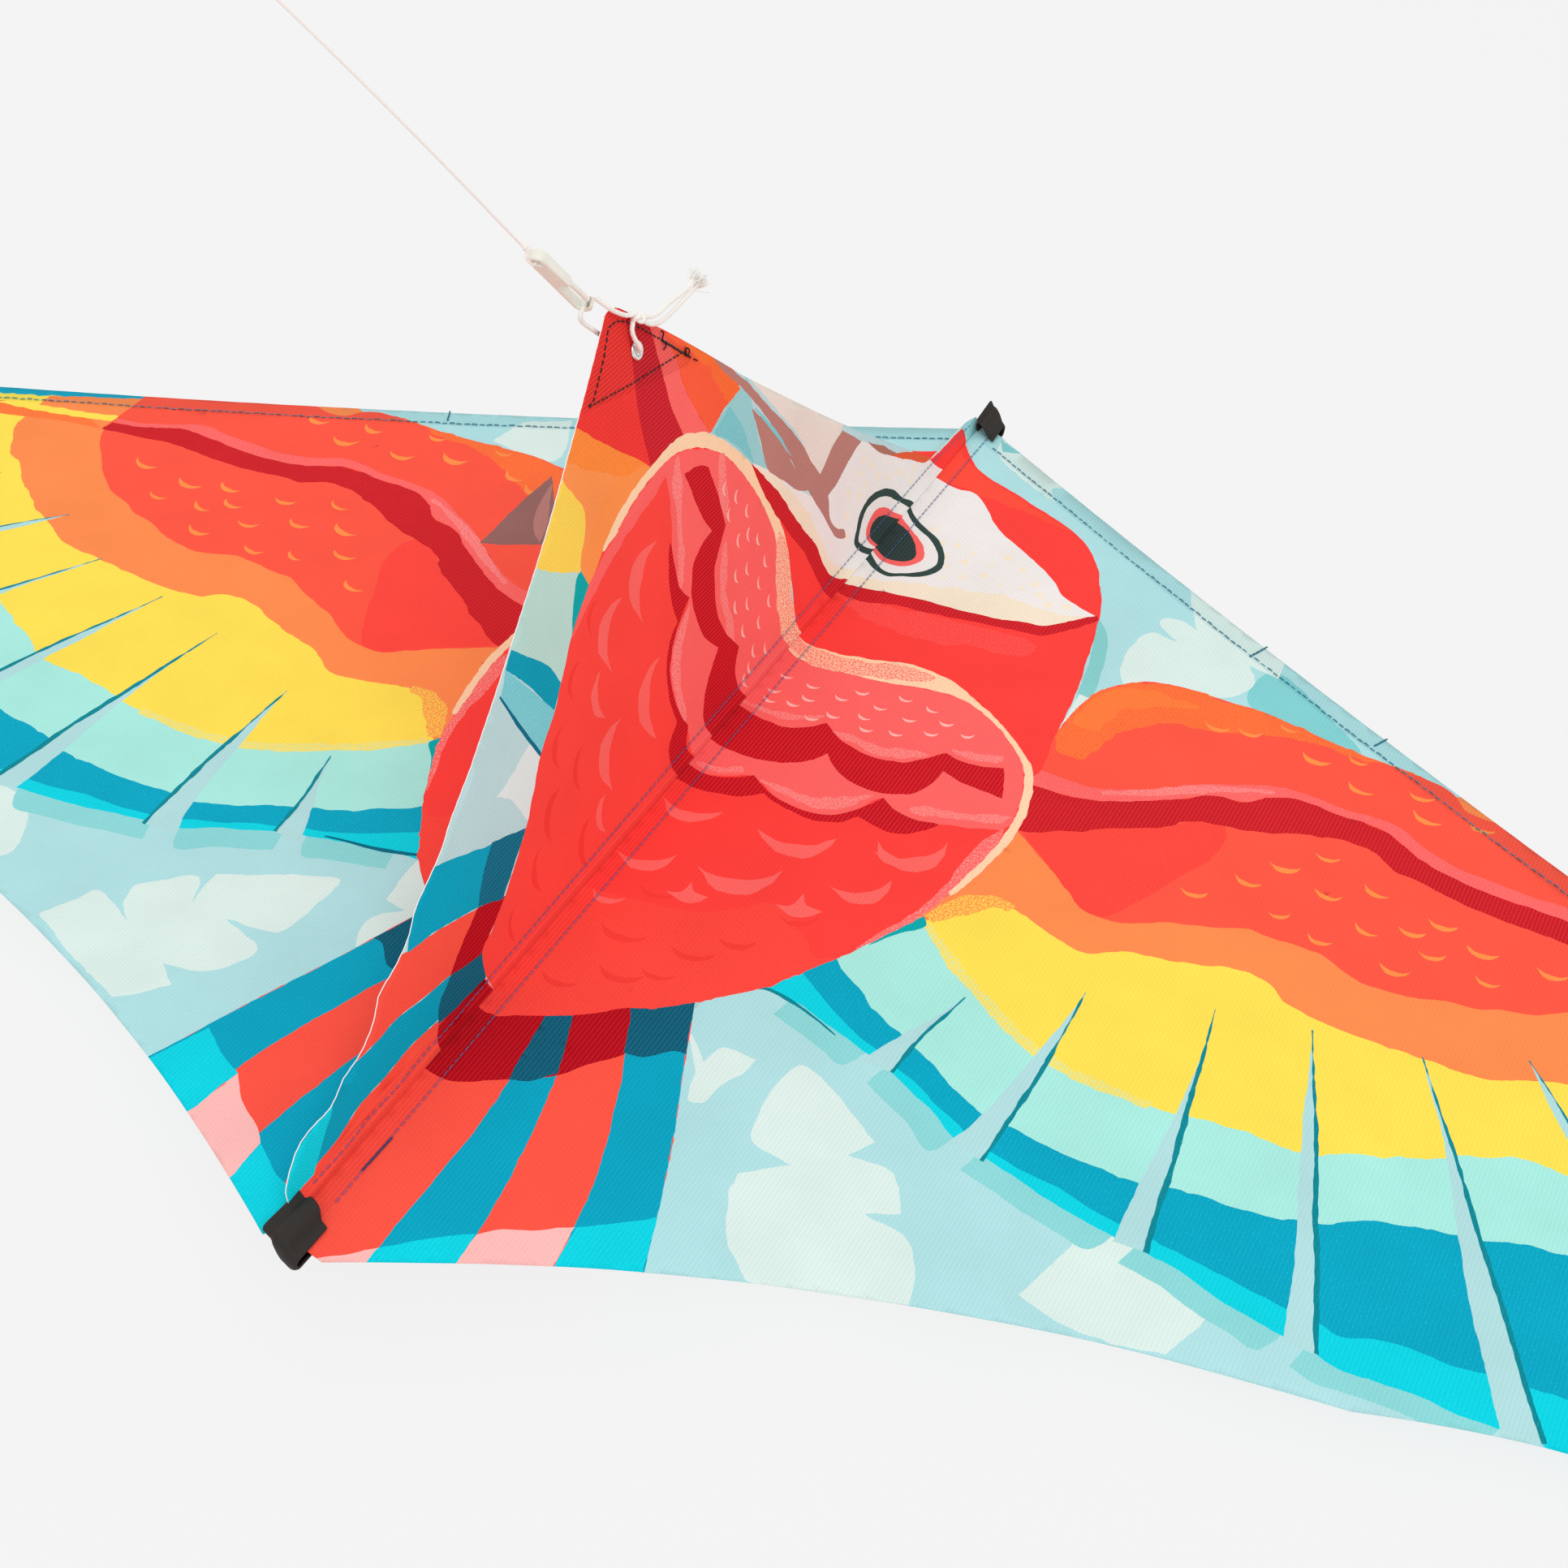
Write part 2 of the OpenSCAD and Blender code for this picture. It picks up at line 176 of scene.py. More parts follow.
def printed_cloth():
    """Printed polyester: the mesh's ink, dry-brush edges, a twill, pin dots where the ink is dark."""
    m, t, shader = new_material("printed_cloth", rough=0.75)
    shader.inputs["Specular IOR Level"].default_value = 0.06
    flat = add(t, "ShaderNodeUVMap", uv_map="flat").outputs[0]
    ink = add(t, "ShaderNodeAttribute", attribute_name="ink")
    chalk = add(t, "ShaderNodeAttribute", attribute_name="chalk")
    layers = add(t, "ShaderNodeAttribute", attribute_name="layers")
    # dry brush: the second ink shows where the grain is lower than its amount
    grain = add(t, "ShaderNodeTexNoise", {"Vector": flat}, Scale=1.15, Detail=4.0, Roughness=0.7)
    limit = maths(t, "SUBTRACT", maths(t, "MULTIPLY", grain.outputs[0], 1.6), 0.3)
    over = maths(t, "MULTIPLY", maths(t, "SUBTRACT", chalk.outputs["Alpha"], limit), 4.5)
    covered = maths(t, "MINIMUM", maths(t, "MAXIMUM", maths(t, "ADD", over, 0.4), 0.0), 1.0)
    paint = mix(t, covered, ink.outputs["Color"], chalk.outputs["Color"])
    blotch = add(t, "ShaderNodeTexNoise", {"Vector": flat}, Scale=0.03, Detail=3.0)
    tone = maths(t, "ADD", maths(t, "MULTIPLY", blotch.outputs[0], 0.16), 0.92)
    # the twill's fine diagonal and the pin dots, on the cloth's own coordinates
    parts = add(t, "ShaderNodeSeparateXYZ", {"Vector": flat})
    x, y = maths(t, "MULTIPLY", parts.outputs[0], 0.57), parts.outputs[1]
    pitch = 2 * math.pi / 1.85
    a = maths(t, "SINE", maths(t, "MULTIPLY", maths(t, "ADD", y, x), pitch))
    b = maths(t, "SINE", maths(t, "MULTIPLY", maths(t, "SUBTRACT", y, x), pitch))
    dots = maths(t, "MULTIPLY", maths(t, "MAXIMUM", maths(t, "SUBTRACT", maths(t, "MULTIPLY", a, b), 0.45),
                                      0.0), 1.8)
    diagonal = maths(t, "ADD", maths(t, "MULTIPLY", x, 1.1), maths(t, "MULTIPLY", y, 0.78))
    twill = maths(t, "SINE", maths(t, "MULTIPLY", diagonal, 2 * math.pi / 1.15))
    weave = maths(t, "ADD", maths(t, "MULTIPLY", twill, 0.025), maths(t, "MULTIPLY",
            maths(t, "MULTIPLY", a, b), 0.05))
    shade = maths(t, "MULTIPLY", maths(t, "ADD", weave, 1.0), tone)
    grey = add(t, "ShaderNodeCombineColor", {"Red": shade, "Green": shade, "Blue": shade}).outputs[0]
    toned = mix(t, 1.0, paint, grey, "MULTIPLY")
    strength = maths(t, "MULTIPLY", dots, layers.outputs["Fac"])
    lighter = mix(t, 1.0, toned, (0.15, 0.11, 0.1, 1.0), "ADD")
    t.links.new(mix(t, strength, toned, lighter), shader.inputs["Base Color"])
    fibres = add(t, "ShaderNodeTexNoise", {"Vector": flat}, Scale=1.6, Detail=2.0)
    height = maths(t, "ADD", maths(t, "MULTIPLY", dots, 0.5), maths(t, "ADD", twill, fibres.outputs[0]))
    bump = add(t, "ShaderNodeBump", {"Height": height}, Strength=0.16, Distance=0.0003)
    t.links.new(bump.outputs[0], shader.inputs["Normal"])
    return m


def woven(name, base, pitch=0.9, rough=0.8, depth=0.35, dark=0.62):
    """Woven tape or cord: fine ribs with fibres; dark scales the colour between the ribs as painted shade, and
    the ribs get painted light.
    """
    m, t, shader = new_material(name, base, rough)
    where = add(t, "ShaderNodeTexCoord").outputs["Object"]
    warp = add(t, "ShaderNodeTexWave", {"Vector": where}, Scale=314 / pitch, Distortion=1.5, Detail=1.0)
    warp.inputs["Detail Scale"].default_value = 2.0
    fine = add(t, "ShaderNodeTexNoise", {"Vector": where}, Scale=900.0, Detail=3.0)
    high = mix(t, 0.5, warp.outputs[0], fine.outputs[0])
    # painted shade in the grooves and painted highlight on the ribs, both following the bump's height
    low = tuple(c * dark for c in base[:3]) + (1.0,)
    up = tuple(min(1, c * (2 - dark) ** 0.5 + 0.005) for c in base[:3]) + (1.0,)
    t.links.new(mix(t, high, low, up), shader.inputs["Base Color"])
    bump = add(t, "ShaderNodeBump", {"Height": high}, Strength=depth, Distance=0.0004)
    t.links.new(bump.outputs[0], shader.inputs["Normal"])
    shader.inputs["Specular IOR Level"].default_value = 0.2
    return m


def grained(name, base, rough, metal=0.0, scale=220.0, spread=0.12, depth=0.08, coat=0.0):
    """Moulded plastic, glass fibre or metal: slight colour variation, fine grain and worn roughness."""
    m, t, shader = new_material(name, base, rough, metal)
    where = add(t, "ShaderNodeTexCoord").outputs["Object"]
    noisy = add(t, "ShaderNodeTexNoise", {"Vector": where}, Scale=scale, Detail=4.0)
    low = tuple(c * (1 - spread) for c in base[:3]) + (1.0,)
    up = tuple(min(1, c * (1 + spread) + 0.005) for c in base[:3]) + (1.0,)
    t.links.new(mix(t, noisy.outputs[0], low, up), shader.inputs["Base Color"])
    r = maths(t, "ADD", maths(t, "MULTIPLY", noisy.outputs[0], 0.25), max(0.02, rough - 0.12))
    t.links.new(r, shader.inputs["Roughness"])
    bump = add(t, "ShaderNodeBump", {"Height": noisy.outputs[0]}, Strength=depth, Distance=0.0002)
    t.links.new(bump.outputs[0], shader.inputs["Normal"])
    shader.inputs["Coat Weight"].default_value = coat
    return m


# ---------------------------------------------------------------- inks, as sRGB
SKY, PALE = (177, 225, 228), (220, 239, 233)
MIST, MINT_SHADE = (140, 216, 217), (136, 208, 206)
RED, LOW_RED, WING_RED, DEEP = (255, 66, 61), (255, 76, 64), (255, 88, 68), (255, 72, 63)
CRIMSON, DARK_RED, PINK, BELLY_PINK = (203, 12, 30), (208, 28, 38), (255, 104, 101), (255, 104, 99)
BLUSH, LIGHT_PINK = (255, 186, 178), (255, 148, 145)
ORANGE, SHOULDER = (255, 142, 80), (255, 119, 58)
YELLOW, MINT, TEAL, CYAN = (255, 227, 86), (169, 236, 225), (0, 166, 196), (0, 212, 228)
SLIT, INK_LINE = (178, 222, 224), (4, 136, 150)
CREAM, RIM, FACE, GREEN, PUPIL = (247, 231, 205), (255, 218, 178), (241, 236, 233), (50, 72, 67), (44, 62, 60)
BEAK, BROWN = (236, 224, 214), (190, 132, 122)
TAIL_RED, TAIL_PINK, SHADE_RED, SHADE_TEAL = (255, 84, 68), (255, 188, 184), (186, 4, 24), (2, 96, 122)
SPECK, FAINT_RED = (249, 234, 208), (248, 62, 56)
# second inks that show through a dry brush
CYAN_DRY, TEAL_DRY, CRIMSON_DRY, PINK_DRY = (30, 216, 230), (0, 158, 186), (208, 18, 34), (255, 120, 114)
SHADE_TEAL_DRY, TAIL_PINK_DRY = (4, 84, 108), (255, 174, 170)


# ---------------------------------------------------------------- outlines
def smooth(points, step=2.2, closed=True):
    """A curve through points; a point with a third value is a corner."""
    n = len(points)
    p = [Vector(q[:2]) for q in points]
    out = []
    for i in range(n if closed else n - 1):
        j = (i + 1) % n
        a, b = p[i], p[j]
        gap = (b - a).length
        if gap < 1e-6:
            continue
        ends = []
        for k in (i, j):
            inside = closed or 0 < k < n - 1
            if len(points[k]) > 2 or not inside:
                ends.append(b - a)
            else:
                before, after = p[k - 1], p[(k + 1) % n]
                ends.append((after - before) / ((after - p[k]).length + (p[k] - before).length) * gap)
        parts = max(1, round(gap / step))
        for s in range(parts):
            x = s / parts
            out.append(a * (2 * x ** 3 - 3 * x ** 2 + 1) + ends[0] * (x ** 3 - 2 * x ** 2 + x)
                       + b * (3 * x ** 2 - 2 * x ** 3) + ends[1] * (x ** 3 - x ** 2))
    if not closed:
        out.append(p[-1])
    return out


def hand_drawn(line, rough):
    """Moves the points of a closed line a little sideways, as a dry brush leaves an edge."""
    out = []
    for i, q in enumerate(line):
        d = line[(i + 1) % len(line)] - line[i - 1]
        if d.length < 1e-9:
            out.append(q)
            continue
        side = Vector((-d.y, d.x)).normalized()
        wave = noise.noise(Vector((q.x * 0.16, q.y * 0.16, 3.7)))
        wave += 0.6 * noise.noise(Vector((q.x * 0.5, q.y * 0.5, 9.1)))
        out.append(q + side * rough * wave)
    return out


class Print:
    """Printed shapes on one sheet, painted one over another."""

    def __init__(self):
        self.shapes = []
        self.warp = None

    def put(self, line, ink, chalk, amount, dots):
        """Adds a closed line, moved by the print's warp while it has one."""
        if self.warp:
            line = [Vector(self.warp(*q)) for q in line]
        self.shapes.append(([tuple(q) for q in line], ink, chalk or ink, amount, dots, "ink"))

    def paint(self, ink, points, rough=0.45, step=2.2, chalk=None, amount=0.0, dots=0.1):
        """A closed shape of one ink; chalk is a second ink that shows through by amount."""
        self.put(hand_drawn(smooth(points, step), rough), ink, chalk, amount, dots)

    def stroke(self, ink, points, widths, rough=0.25, chalk=None, amount=0.0, dots=0.1):
        """A brush stroke along points; widths are its half widths at the start, the middle and the end."""
        line = smooth(points, 2.5, closed=False)
        left, right = [], []
        for i, q in enumerate(line):
            d = line[min(i + 1, len(line) - 1)] - line[max(i - 1, 0)]
            side = Vector((-d.y, d.x)).normalized()
            x = i / (len(line) - 1)
            if x < 0.5:
                half = widths[0] * (1 - 2 * x) + widths[1] * 2 * x
            else:
                half = widths[1] * (2 - 2 * x) + widths[2] * (2 * x - 1)
            left.append(q + side * half)
            right.append(q - side * half)
        self.put(hand_drawn(left + right[::-1], rough), ink, chalk, amount, dots)

    def tint(self, painted_shade_factor, points, dots):
        """Painted shade: darkens what is painted so far, where a second layer of cloth lies behind and lets less
        light through.
        """
        self.shapes.append((points, painted_shade_factor, painted_shade_factor, 0, dots, "tint"))

    def smile(self, ink, u, v, width, turn, depth=0.3, chalk=None, amount=0.0):
        """A crescent, points up, turned by an angle in degrees."""
        c, s = math.cos(math.radians(turn)), math.sin(math.radians(turn))
        low = [(-0.5, 0.08, 1), (-0.25, -depth), (0.1, -depth * 1.1), (0.38, -depth * 0.35), (0.5, 0.14, 1)]
        high = [(0.25, -depth * 0.15), (0, -depth * 0.3), (-0.25, -depth * 0.25)]
        pts = []
        for x, y, *corner in low + high:
            pts.append((u + width * (x * c - y * s), v + width * (x * s + y * c), *corner))
        self.paint(ink, pts, rough=0.03 * width, step=width / 7, chalk=chalk, amount=amount)


def both(top, bottom):
    """A shape between two lines, both from left to right."""
    return list(top) + list(bottom)[::-1]


def corner_ends(line):
    """The line with its first and last points as corners."""
    return [(*line[0][:2], 1), *line[1:-1], (*line[-1][:2], 1)]


# ---------------------------------------------------------------- the wing's feathers
WING_TOP = [(119, 404), (119, 418), (121, 436), (125, 449), (133, 460), (143, 468), (158, 473), (175, 475),
            (192, 478), (212, 477), (235, 476), (265, 477), (282, 475), (292, 466), (310, 470)]
PINK_TOP = [(116, 380), (130, 382), (145, 384), (160, 393), (172, 403), (185, 415), (200, 425), (213, 433),
            (225, 436), (245, 436), (260, 439), (269, 438), (282, 432), (297, 428), (312, 428), (330, 428),
            (345, 430), (360, 423), (375, 416), (387, 414)]
BAND_TOP = [(120, 370), (130, 371), (142, 374), (155, 380), (168, 390), (180, 400), (192, 411), (205, 415),
            (212, 423), (222, 430), (232, 431), (245, 431), (258, 433), (268, 431), (281, 424), (296, 421),
            (310, 420), (345, 422), (353, 422), (363, 417), (375, 412), (387, 410)]
BAND_LOW = [(126, 339), (135, 343), (143, 349), (152, 355), (160, 363), (170, 370), (180, 378), (188, 388),
            (200, 394), (212, 398), (222, 403), (232, 409), (243, 414), (252, 417), (262, 417), (274, 411),
            (286, 410), (300, 408), (320, 407), (345, 408), (362, 406), (375, 404), (387, 402)]
RED_LOW = [(128, 340), (138, 333), (150, 325), (160, 318), (168, 311), (180, 310), (190, 314), (200, 322),
           (212, 328), (222, 333), (232, 339), (240, 339), (250, 341), (262, 342), (272, 338), (281, 336),
           (295, 338), (304, 341), (314, 346), (326, 349), (336, 355), (347, 359), (360, 369), (372, 382),
           (381, 393), (387, 404)]
ORANGE_LOW = [(112, 262), (118, 270), (124, 281), (130, 289), (136, 294), (145, 295), (155, 292),
              (165, 289), (176, 287), (182, 289), (190, 295), (199, 300), (211, 303), (222, 308),
              (232, 313), (243, 315), (250, 313), (257, 308), (266, 306), (276, 305), (290, 306),
              (310, 308), (325, 310), (337, 312), (345, 316), (354, 322), (368, 329), (380, 338),
              (391, 346), (401, 357), (410, 361), (417, 370), (425, 383), (428, 396), (430, 415)]
YELLOW_LOW = [(108, 275), (119, 267), (128, 260), (138, 252), (150, 245), (160, 239), (170, 233),
              (180, 229), (190, 227), (202, 225), (215, 225), (230, 226), (240, 227), (246, 230),
              (254, 232), (265, 233), (287, 235), (297, 240), (305, 246), (316, 251), (325, 256),
              (334, 262), (341, 268), (348, 272), (357, 278), (366, 281), (380, 282), (400, 287),
              (425, 299), (448, 316), (470, 338), (490, 362), (500, 386)]
MINT_LOW = [(96, 230), (101, 225), (109, 221), (118, 214), (128, 209), (136, 206), (146, 202), (155, 198),
            (165, 192), (177, 187), (188, 187), (200, 186), (215, 186), (230, 187), (243, 189), (250, 192),
            (259, 195), (271, 196), (285, 199), (297, 204), (306, 208), (316, 216), (331, 223), (347, 229),
            (359, 233), (371, 239), (388, 243), (410, 249), (438, 262), (465, 283), (490, 310), (512, 342),
            (524, 374)]
TEAL_LOW = [(86, 216), (100, 208), (110, 202), (121, 197), (131, 194), (141, 190), (151, 187), (160, 182),
            (170, 178), (178, 174), (188, 172), (200, 170), (215, 170), (232, 167), (250, 167), (265, 166),
            (282, 165), (300, 164), (318, 164), (326, 163), (336, 168), (350, 171), (365, 172), (379, 176),
            (395, 178), (412, 182), (440, 197), (470, 220), (500, 251), (526, 290), (545, 330), (553, 366)]
CYAN_LOW = [(76, 200), (95, 199), (106, 196), (118, 193), (129, 190), (140, 187), (151, 182), (161, 178),
            (174, 170), (187, 168), (199, 166), (212, 163), (226, 161), (241, 160), (252, 160), (266, 159),
            (281, 155), (296, 153), (308, 152), (319, 151), (329, 149), (341, 151), (356, 153), (371, 153),
            (386, 155), (400, 156), (420, 140)]
# each slit: its left edge from the tip down, and its right edge, where a dark line runs
SLITS = [
    ([(148, 239), (142, 222), (136, 208), (131, 195), (128, 186)],
     [(148, 239), (145, 224), (142, 209), (140, 187)]),
    ([(187.5, 268), (186, 248), (182, 220), (179, 196), (176, 180), (172, 168)],
     [(187.5, 268), (188, 246), (188, 212), (187, 188), (186, 166)]),
    ([(235, 288), (238, 268), (239.5, 240), (240, 210), (240, 188), (241, 158)],
     [(235, 288), (239, 262), (242, 240), (245, 220), (248, 200), (250, 180), (253, 160)]),
    ([(272, 299), (277, 280), (281, 260), (286, 240), (291, 220), (297, 200), (302, 180), (306, 160), (308, 150)],
     [(272, 299), (280, 275), (288, 252), (295, 230), (301, 210), (308, 190), (314, 170), (320, 151)]),
    ([(314, 310), (322, 293), (330, 278), (338, 260), (346, 240), (352, 225), (360, 205), (370, 185), (380, 165),
      (387, 150)],
     [(314, 310), (328, 285), (340, 265), (352, 243), (362, 225), (375, 202), (388, 178), (400, 157)]),
    ([(352, 333), (360, 321), (372, 304), (392, 278), (412, 248), (432, 215), (448, 180), (452, 165)],
     [(352, 333), (366, 318), (378, 304), (398, 281), (420, 250), (444, 214), (466, 180)]),
    ([(403, 346), (418, 326), (440, 300), (466, 268), (490, 236), (504, 212)],
     [(403, 346), (424, 326), (450, 299), (476, 267), (502, 236), (520, 222)]),
    ([(452, 364), (470, 342), (496, 314), (520, 284), (536, 256), (540, 240)],
     [(452, 364), (474, 344), (502, 317), (530, 286), (552, 256)]),
    ([(508, 372), (530, 350), (552, 322), (566, 296)], [(508, 372), (534, 352), (560, 324), (574, 300)]),
]
CRESCENTS = [(247, 402, 11, 12), (271, 393, 12, -14), (233, 385, 14, 14), (301, 390, 13, 4),
             (320, 383, 14, 2), (349, 387, 14, 8), (254, 379, 12, 6), (291, 378, 12, 10),
             (222, 367, 12, -4), (274, 367, 11, -14), (302, 369, 12, 16), (326, 367, 11, -2),
             (240, 355, 10, 22), (259, 350, 11, 0), (291, 351, 13, 6), (205, 347, 12, 14),
             (178, 456, 12, 8), (192, 461, 11, 14), (206, 474, 9, -10), (223, 461, 14, -2),
             (246, 453, 13, -12), (271, 464, 12, 4), (277, 451, 14, -10), (240, 471, 10, 0),
             (300, 459, 12, 0)]


def wing(art):
    """The spread wing of one side."""
    # the shadow that each feather's end throws on the sky, down and towards the spine
    starts = [80] + [right[-1][0] for _, right in SLITS]
    for start, (left, _) in zip(starts, SLITS):
        low = [p for p in CYAN_LOW if start - 2 <= p[0] <= left[-1][0] + 2]
        if len(low) > 1 and low[-1][0] < 400:
            pts = [(u, v + 14) for u, v in low] + [(u - 6, v - 10) for u, v in low[::-1]]
            art.paint(MIST, corner_ends(pts), chalk=SKY, amount=0.3)
    # bands from the body out to the tip, each over the one before
    tip = [(HALF_SPAN + 6, TIP_V - 4, 1), (HALF_SPAN + 6, 300, 1), (560, 240, 1), (470, 150, 1),
           (425, 130, 1)]
    art.paint(CYAN, [(60, 196, 1), (112, 250), (560, 380, 1)] + tip + corner_ends(CYAN_LOW)[::-1],
              chalk=CYAN_DRY, amount=0.38)
    lead = [(HALF_SPAN, TIP_V + 30, 1), (300, 470, 1), (112, 262, 1)]
    art.paint(TEAL, corner_ends(TEAL_LOW) + lead, chalk=CYAN, amount=0.3)
    art.paint(MINT, corner_ends(MINT_LOW) + lead[1:], rough=0.9, chalk=(190, 240, 232), amount=0.3)
    art.paint(YELLOW, corner_ends(YELLOW_LOW) + lead[1:2] + [(120, 400, 1)], rough=1.2,
              chalk=(255, 221, 74), amount=0.35)
    art.paint(ORANGE, corner_ends(ORANGE_LOW) + [(300, 480, 1), (118, 400, 1)], rough=0.9,
              chalk=(255, 134, 70), amount=0.3)
    art.stroke(ORANGE, ORANGE_LOW[1:6], (3, 5, 2), rough=1.5, chalk=YELLOW, amount=0.5)
    art.stroke(YELLOW, YELLOW_LOW[1:12], (2, 3, 2), rough=1.2, chalk=MINT, amount=0.42)
    art.paint(SHOULDER, [(387, 402, 1), (410, 398), (432, 392), (452, 388), (458, 398, 1), (432, 404),
                         (405, 409)], chalk=ORANGE, amount=0.4)
    art.paint(YELLOW, [(387, 410, 1), (388, 416), (398, 413), (420, 408), (440, 403), (450, 398, 1),
                       (430, 400), (408, 405)], rough=0.8)
    # red of the wing, above the orange
    art.paint(WING_RED, corner_ends(RED_LOW) + [(389, 445, 1), (300, 500, 1)] + WING_TOP[::-1],
              chalk=(255, 96, 72), amount=0.3)
    art.paint(DEEP, [(128, 342, 1), (145, 352), (160, 365), (180, 380), (200, 397), (206, 380), (196, 350),
                     (186, 325), (178, 311), (168, 311), (158, 319), (142, 331)], rough=1.0, chalk=WING_RED,
              amount=0.36)
    art.paint(SHOULDER, WING_TOP[:12] + [(252, 477), (240, 472), (215, 470), (196, 462), (178, 452),
                                         (160, 446), (150, 436), (140, 420), (134, 398), (124, 398)],
              rough=1.6, chalk=WING_RED, amount=0.42)
    art.paint((255, 128, 62), [(122, 420), (124, 440), (132, 455), (146, 462), (166, 463), (150, 452),
                               (138, 440), (132, 420)], rough=2.0, chalk=SHOULDER, amount=0.45)
    for u, v, width, turn in CRESCENTS:
        art.smile((255, 146, 74), u, v, width, turn, depth=0.26)
    art.paint(PINK, both(corner_ends(PINK_TOP), corner_ends(BAND_TOP)), chalk=LIGHT_PINK, amount=0.32)
    art.stroke(LIGHT_PINK, [(150, 383), (165, 394), (180, 407), (198, 420), (214, 429)], (1, 3, 1),
               rough=1.0, chalk=PINK, amount=0.5)
    art.paint(DARK_RED, both(corner_ends(BAND_TOP), corner_ends(BAND_LOW)), rough=0.8, chalk=CRIMSON,
              amount=0.42, dots=0.55)
    # slits between the feathers, each with its dark line
    for i, (left, right) in enumerate(SLITS):
        art.paint(SLIT, both(corner_ends(left), corner_ends(right)), rough=0.5, chalk=(150, 214, 214),
                  amount=0.25)
        fat = 0.9 if i < 2 else 1.1
        art.stroke(INK_LINE, right, (0.25, fat, fat * 0.9), rough=0.5, chalk=(60, 170, 180), amount=0.3)


# ---------------------------------------------------------------- the body, folded wings and tail
RIM_OUT = [(-10, 406, 1), (0, 401), (15, 402.5), (30, 408), (42, 413.5), (53, 415.5), (66, 414), (80, 408),
           (95, 400), (108, 390), (119, 379), (125, 364), (128.5, 343), (127.5, 322), (124, 300),
           (120, 288)]
RIM_IN = [(-10, 396, 1), (0, 389), (20, 391), (40, 396), (56, 402), (74, 405), (91, 399), (105, 389),
          (115, 378), (121, 363), (124.5, 343), (124, 322), (121, 303), (119, 290)]
BELLY = [(119, 290), (115, 271), (108, 252), (98, 231), (88, 213), (79, 198), (70, 188), (61, 178),
         (50, 167), (40, 160), (29, 149), (18, 141), (8, 135), (0, 131), (-10, 134, 1)]
BAND_1 = [(-10, 347, 1), (0, 343.5), (9, 342), (18, 343), (25, 348), (31, 356, 1), (38, 351), (48, 347.5),
          (59, 347.5), (70, 352), (78, 361), (83, 368, 1), (90, 367), (100, 369), (108, 373, 1), (112, 364),
          (115, 354.5, 1), (104, 354), (94, 354.5), (86.5, 357, 1), (86, 350), (84, 341), (78, 333),
          (68, 328.5), (57, 327.5), (47, 331), (40, 338, 1), (37, 331), (30, 323), (20, 318), (10, 316),
          (0, 316.5), (-10, 319, 1)]
BAND_2 = [(-10, 300, 1), (0, 297), (6, 297), (14, 301), (20.5, 307, 1), (30, 301), (40, 299.5), (52, 301),
          (60, 306), (66, 314), (72, 327, 1), (78, 323.5), (88, 322), (98.5, 325, 1), (94, 317),
          (88, 310.5), (80, 308), (68, 310, 1), (64, 303), (55, 297.5), (45, 296), (35, 297),
          (29, 299.5, 1), (22, 292), (12, 287.5), (4, 286), (-10, 288, 1)]
TINY = [(53, 391, 0), (66, 391, -10), (35, 384, 20), (75, 386, 12), (86, 384, 24), (46, 379, 4),
        (60, 379, 8), (15, 375, 4), (2, 375, 0), (29, 375, 0), (72, 376, 18), (17, 366, -8), (43, 369, -8),
        (59, 367, 4), (2, 363, 10), (31, 362, -4), (47, 362, 4), (13, 359, -4), (24, 355, 12),
        (3, 356, -18)]
BIG = [(53, 282, 33, 22), (88, 271, 27, 38), (97, 303, 33, 42), (92, 298, 22, -8), (43, 250, 35, 26),
       (8, 274, 26, 8), (7, 238, 24, 24), (5, 210, 14, 6)]
LEAVES = [(72, 247, 18, 6), (31, 229, 16, 0)]
# stripes of the tail: lines from the body to the hem
STRIPE_A = [(16, 150), (18, 136), (20, 120), (23, 102), (24.5, 80), (24.5, 60), (24.5, 40), (24.5, 18),
            (24.5, 0)]
STRIPE_B = [(22, 154), (26, 146), (31, 133), (36, 117), (40, 100), (43.5, 83), (46.5, 65), (48.5, 50),
            (49.5, 38), (51, 14)]
STRIPE_C = [(38, 170), (44, 158), (50, 145), (57, 128), (63, 111), (68.5, 95), (73, 78), (76.5, 60),
            (79.5, 42), (81, 30)]
STRIPE_D = [(56, 188), (61, 178), (68, 160), (75, 142), (82, 125), (90, 104), (97, 84), (101.5, 70),
            (106.5, 55), (109, 46)]


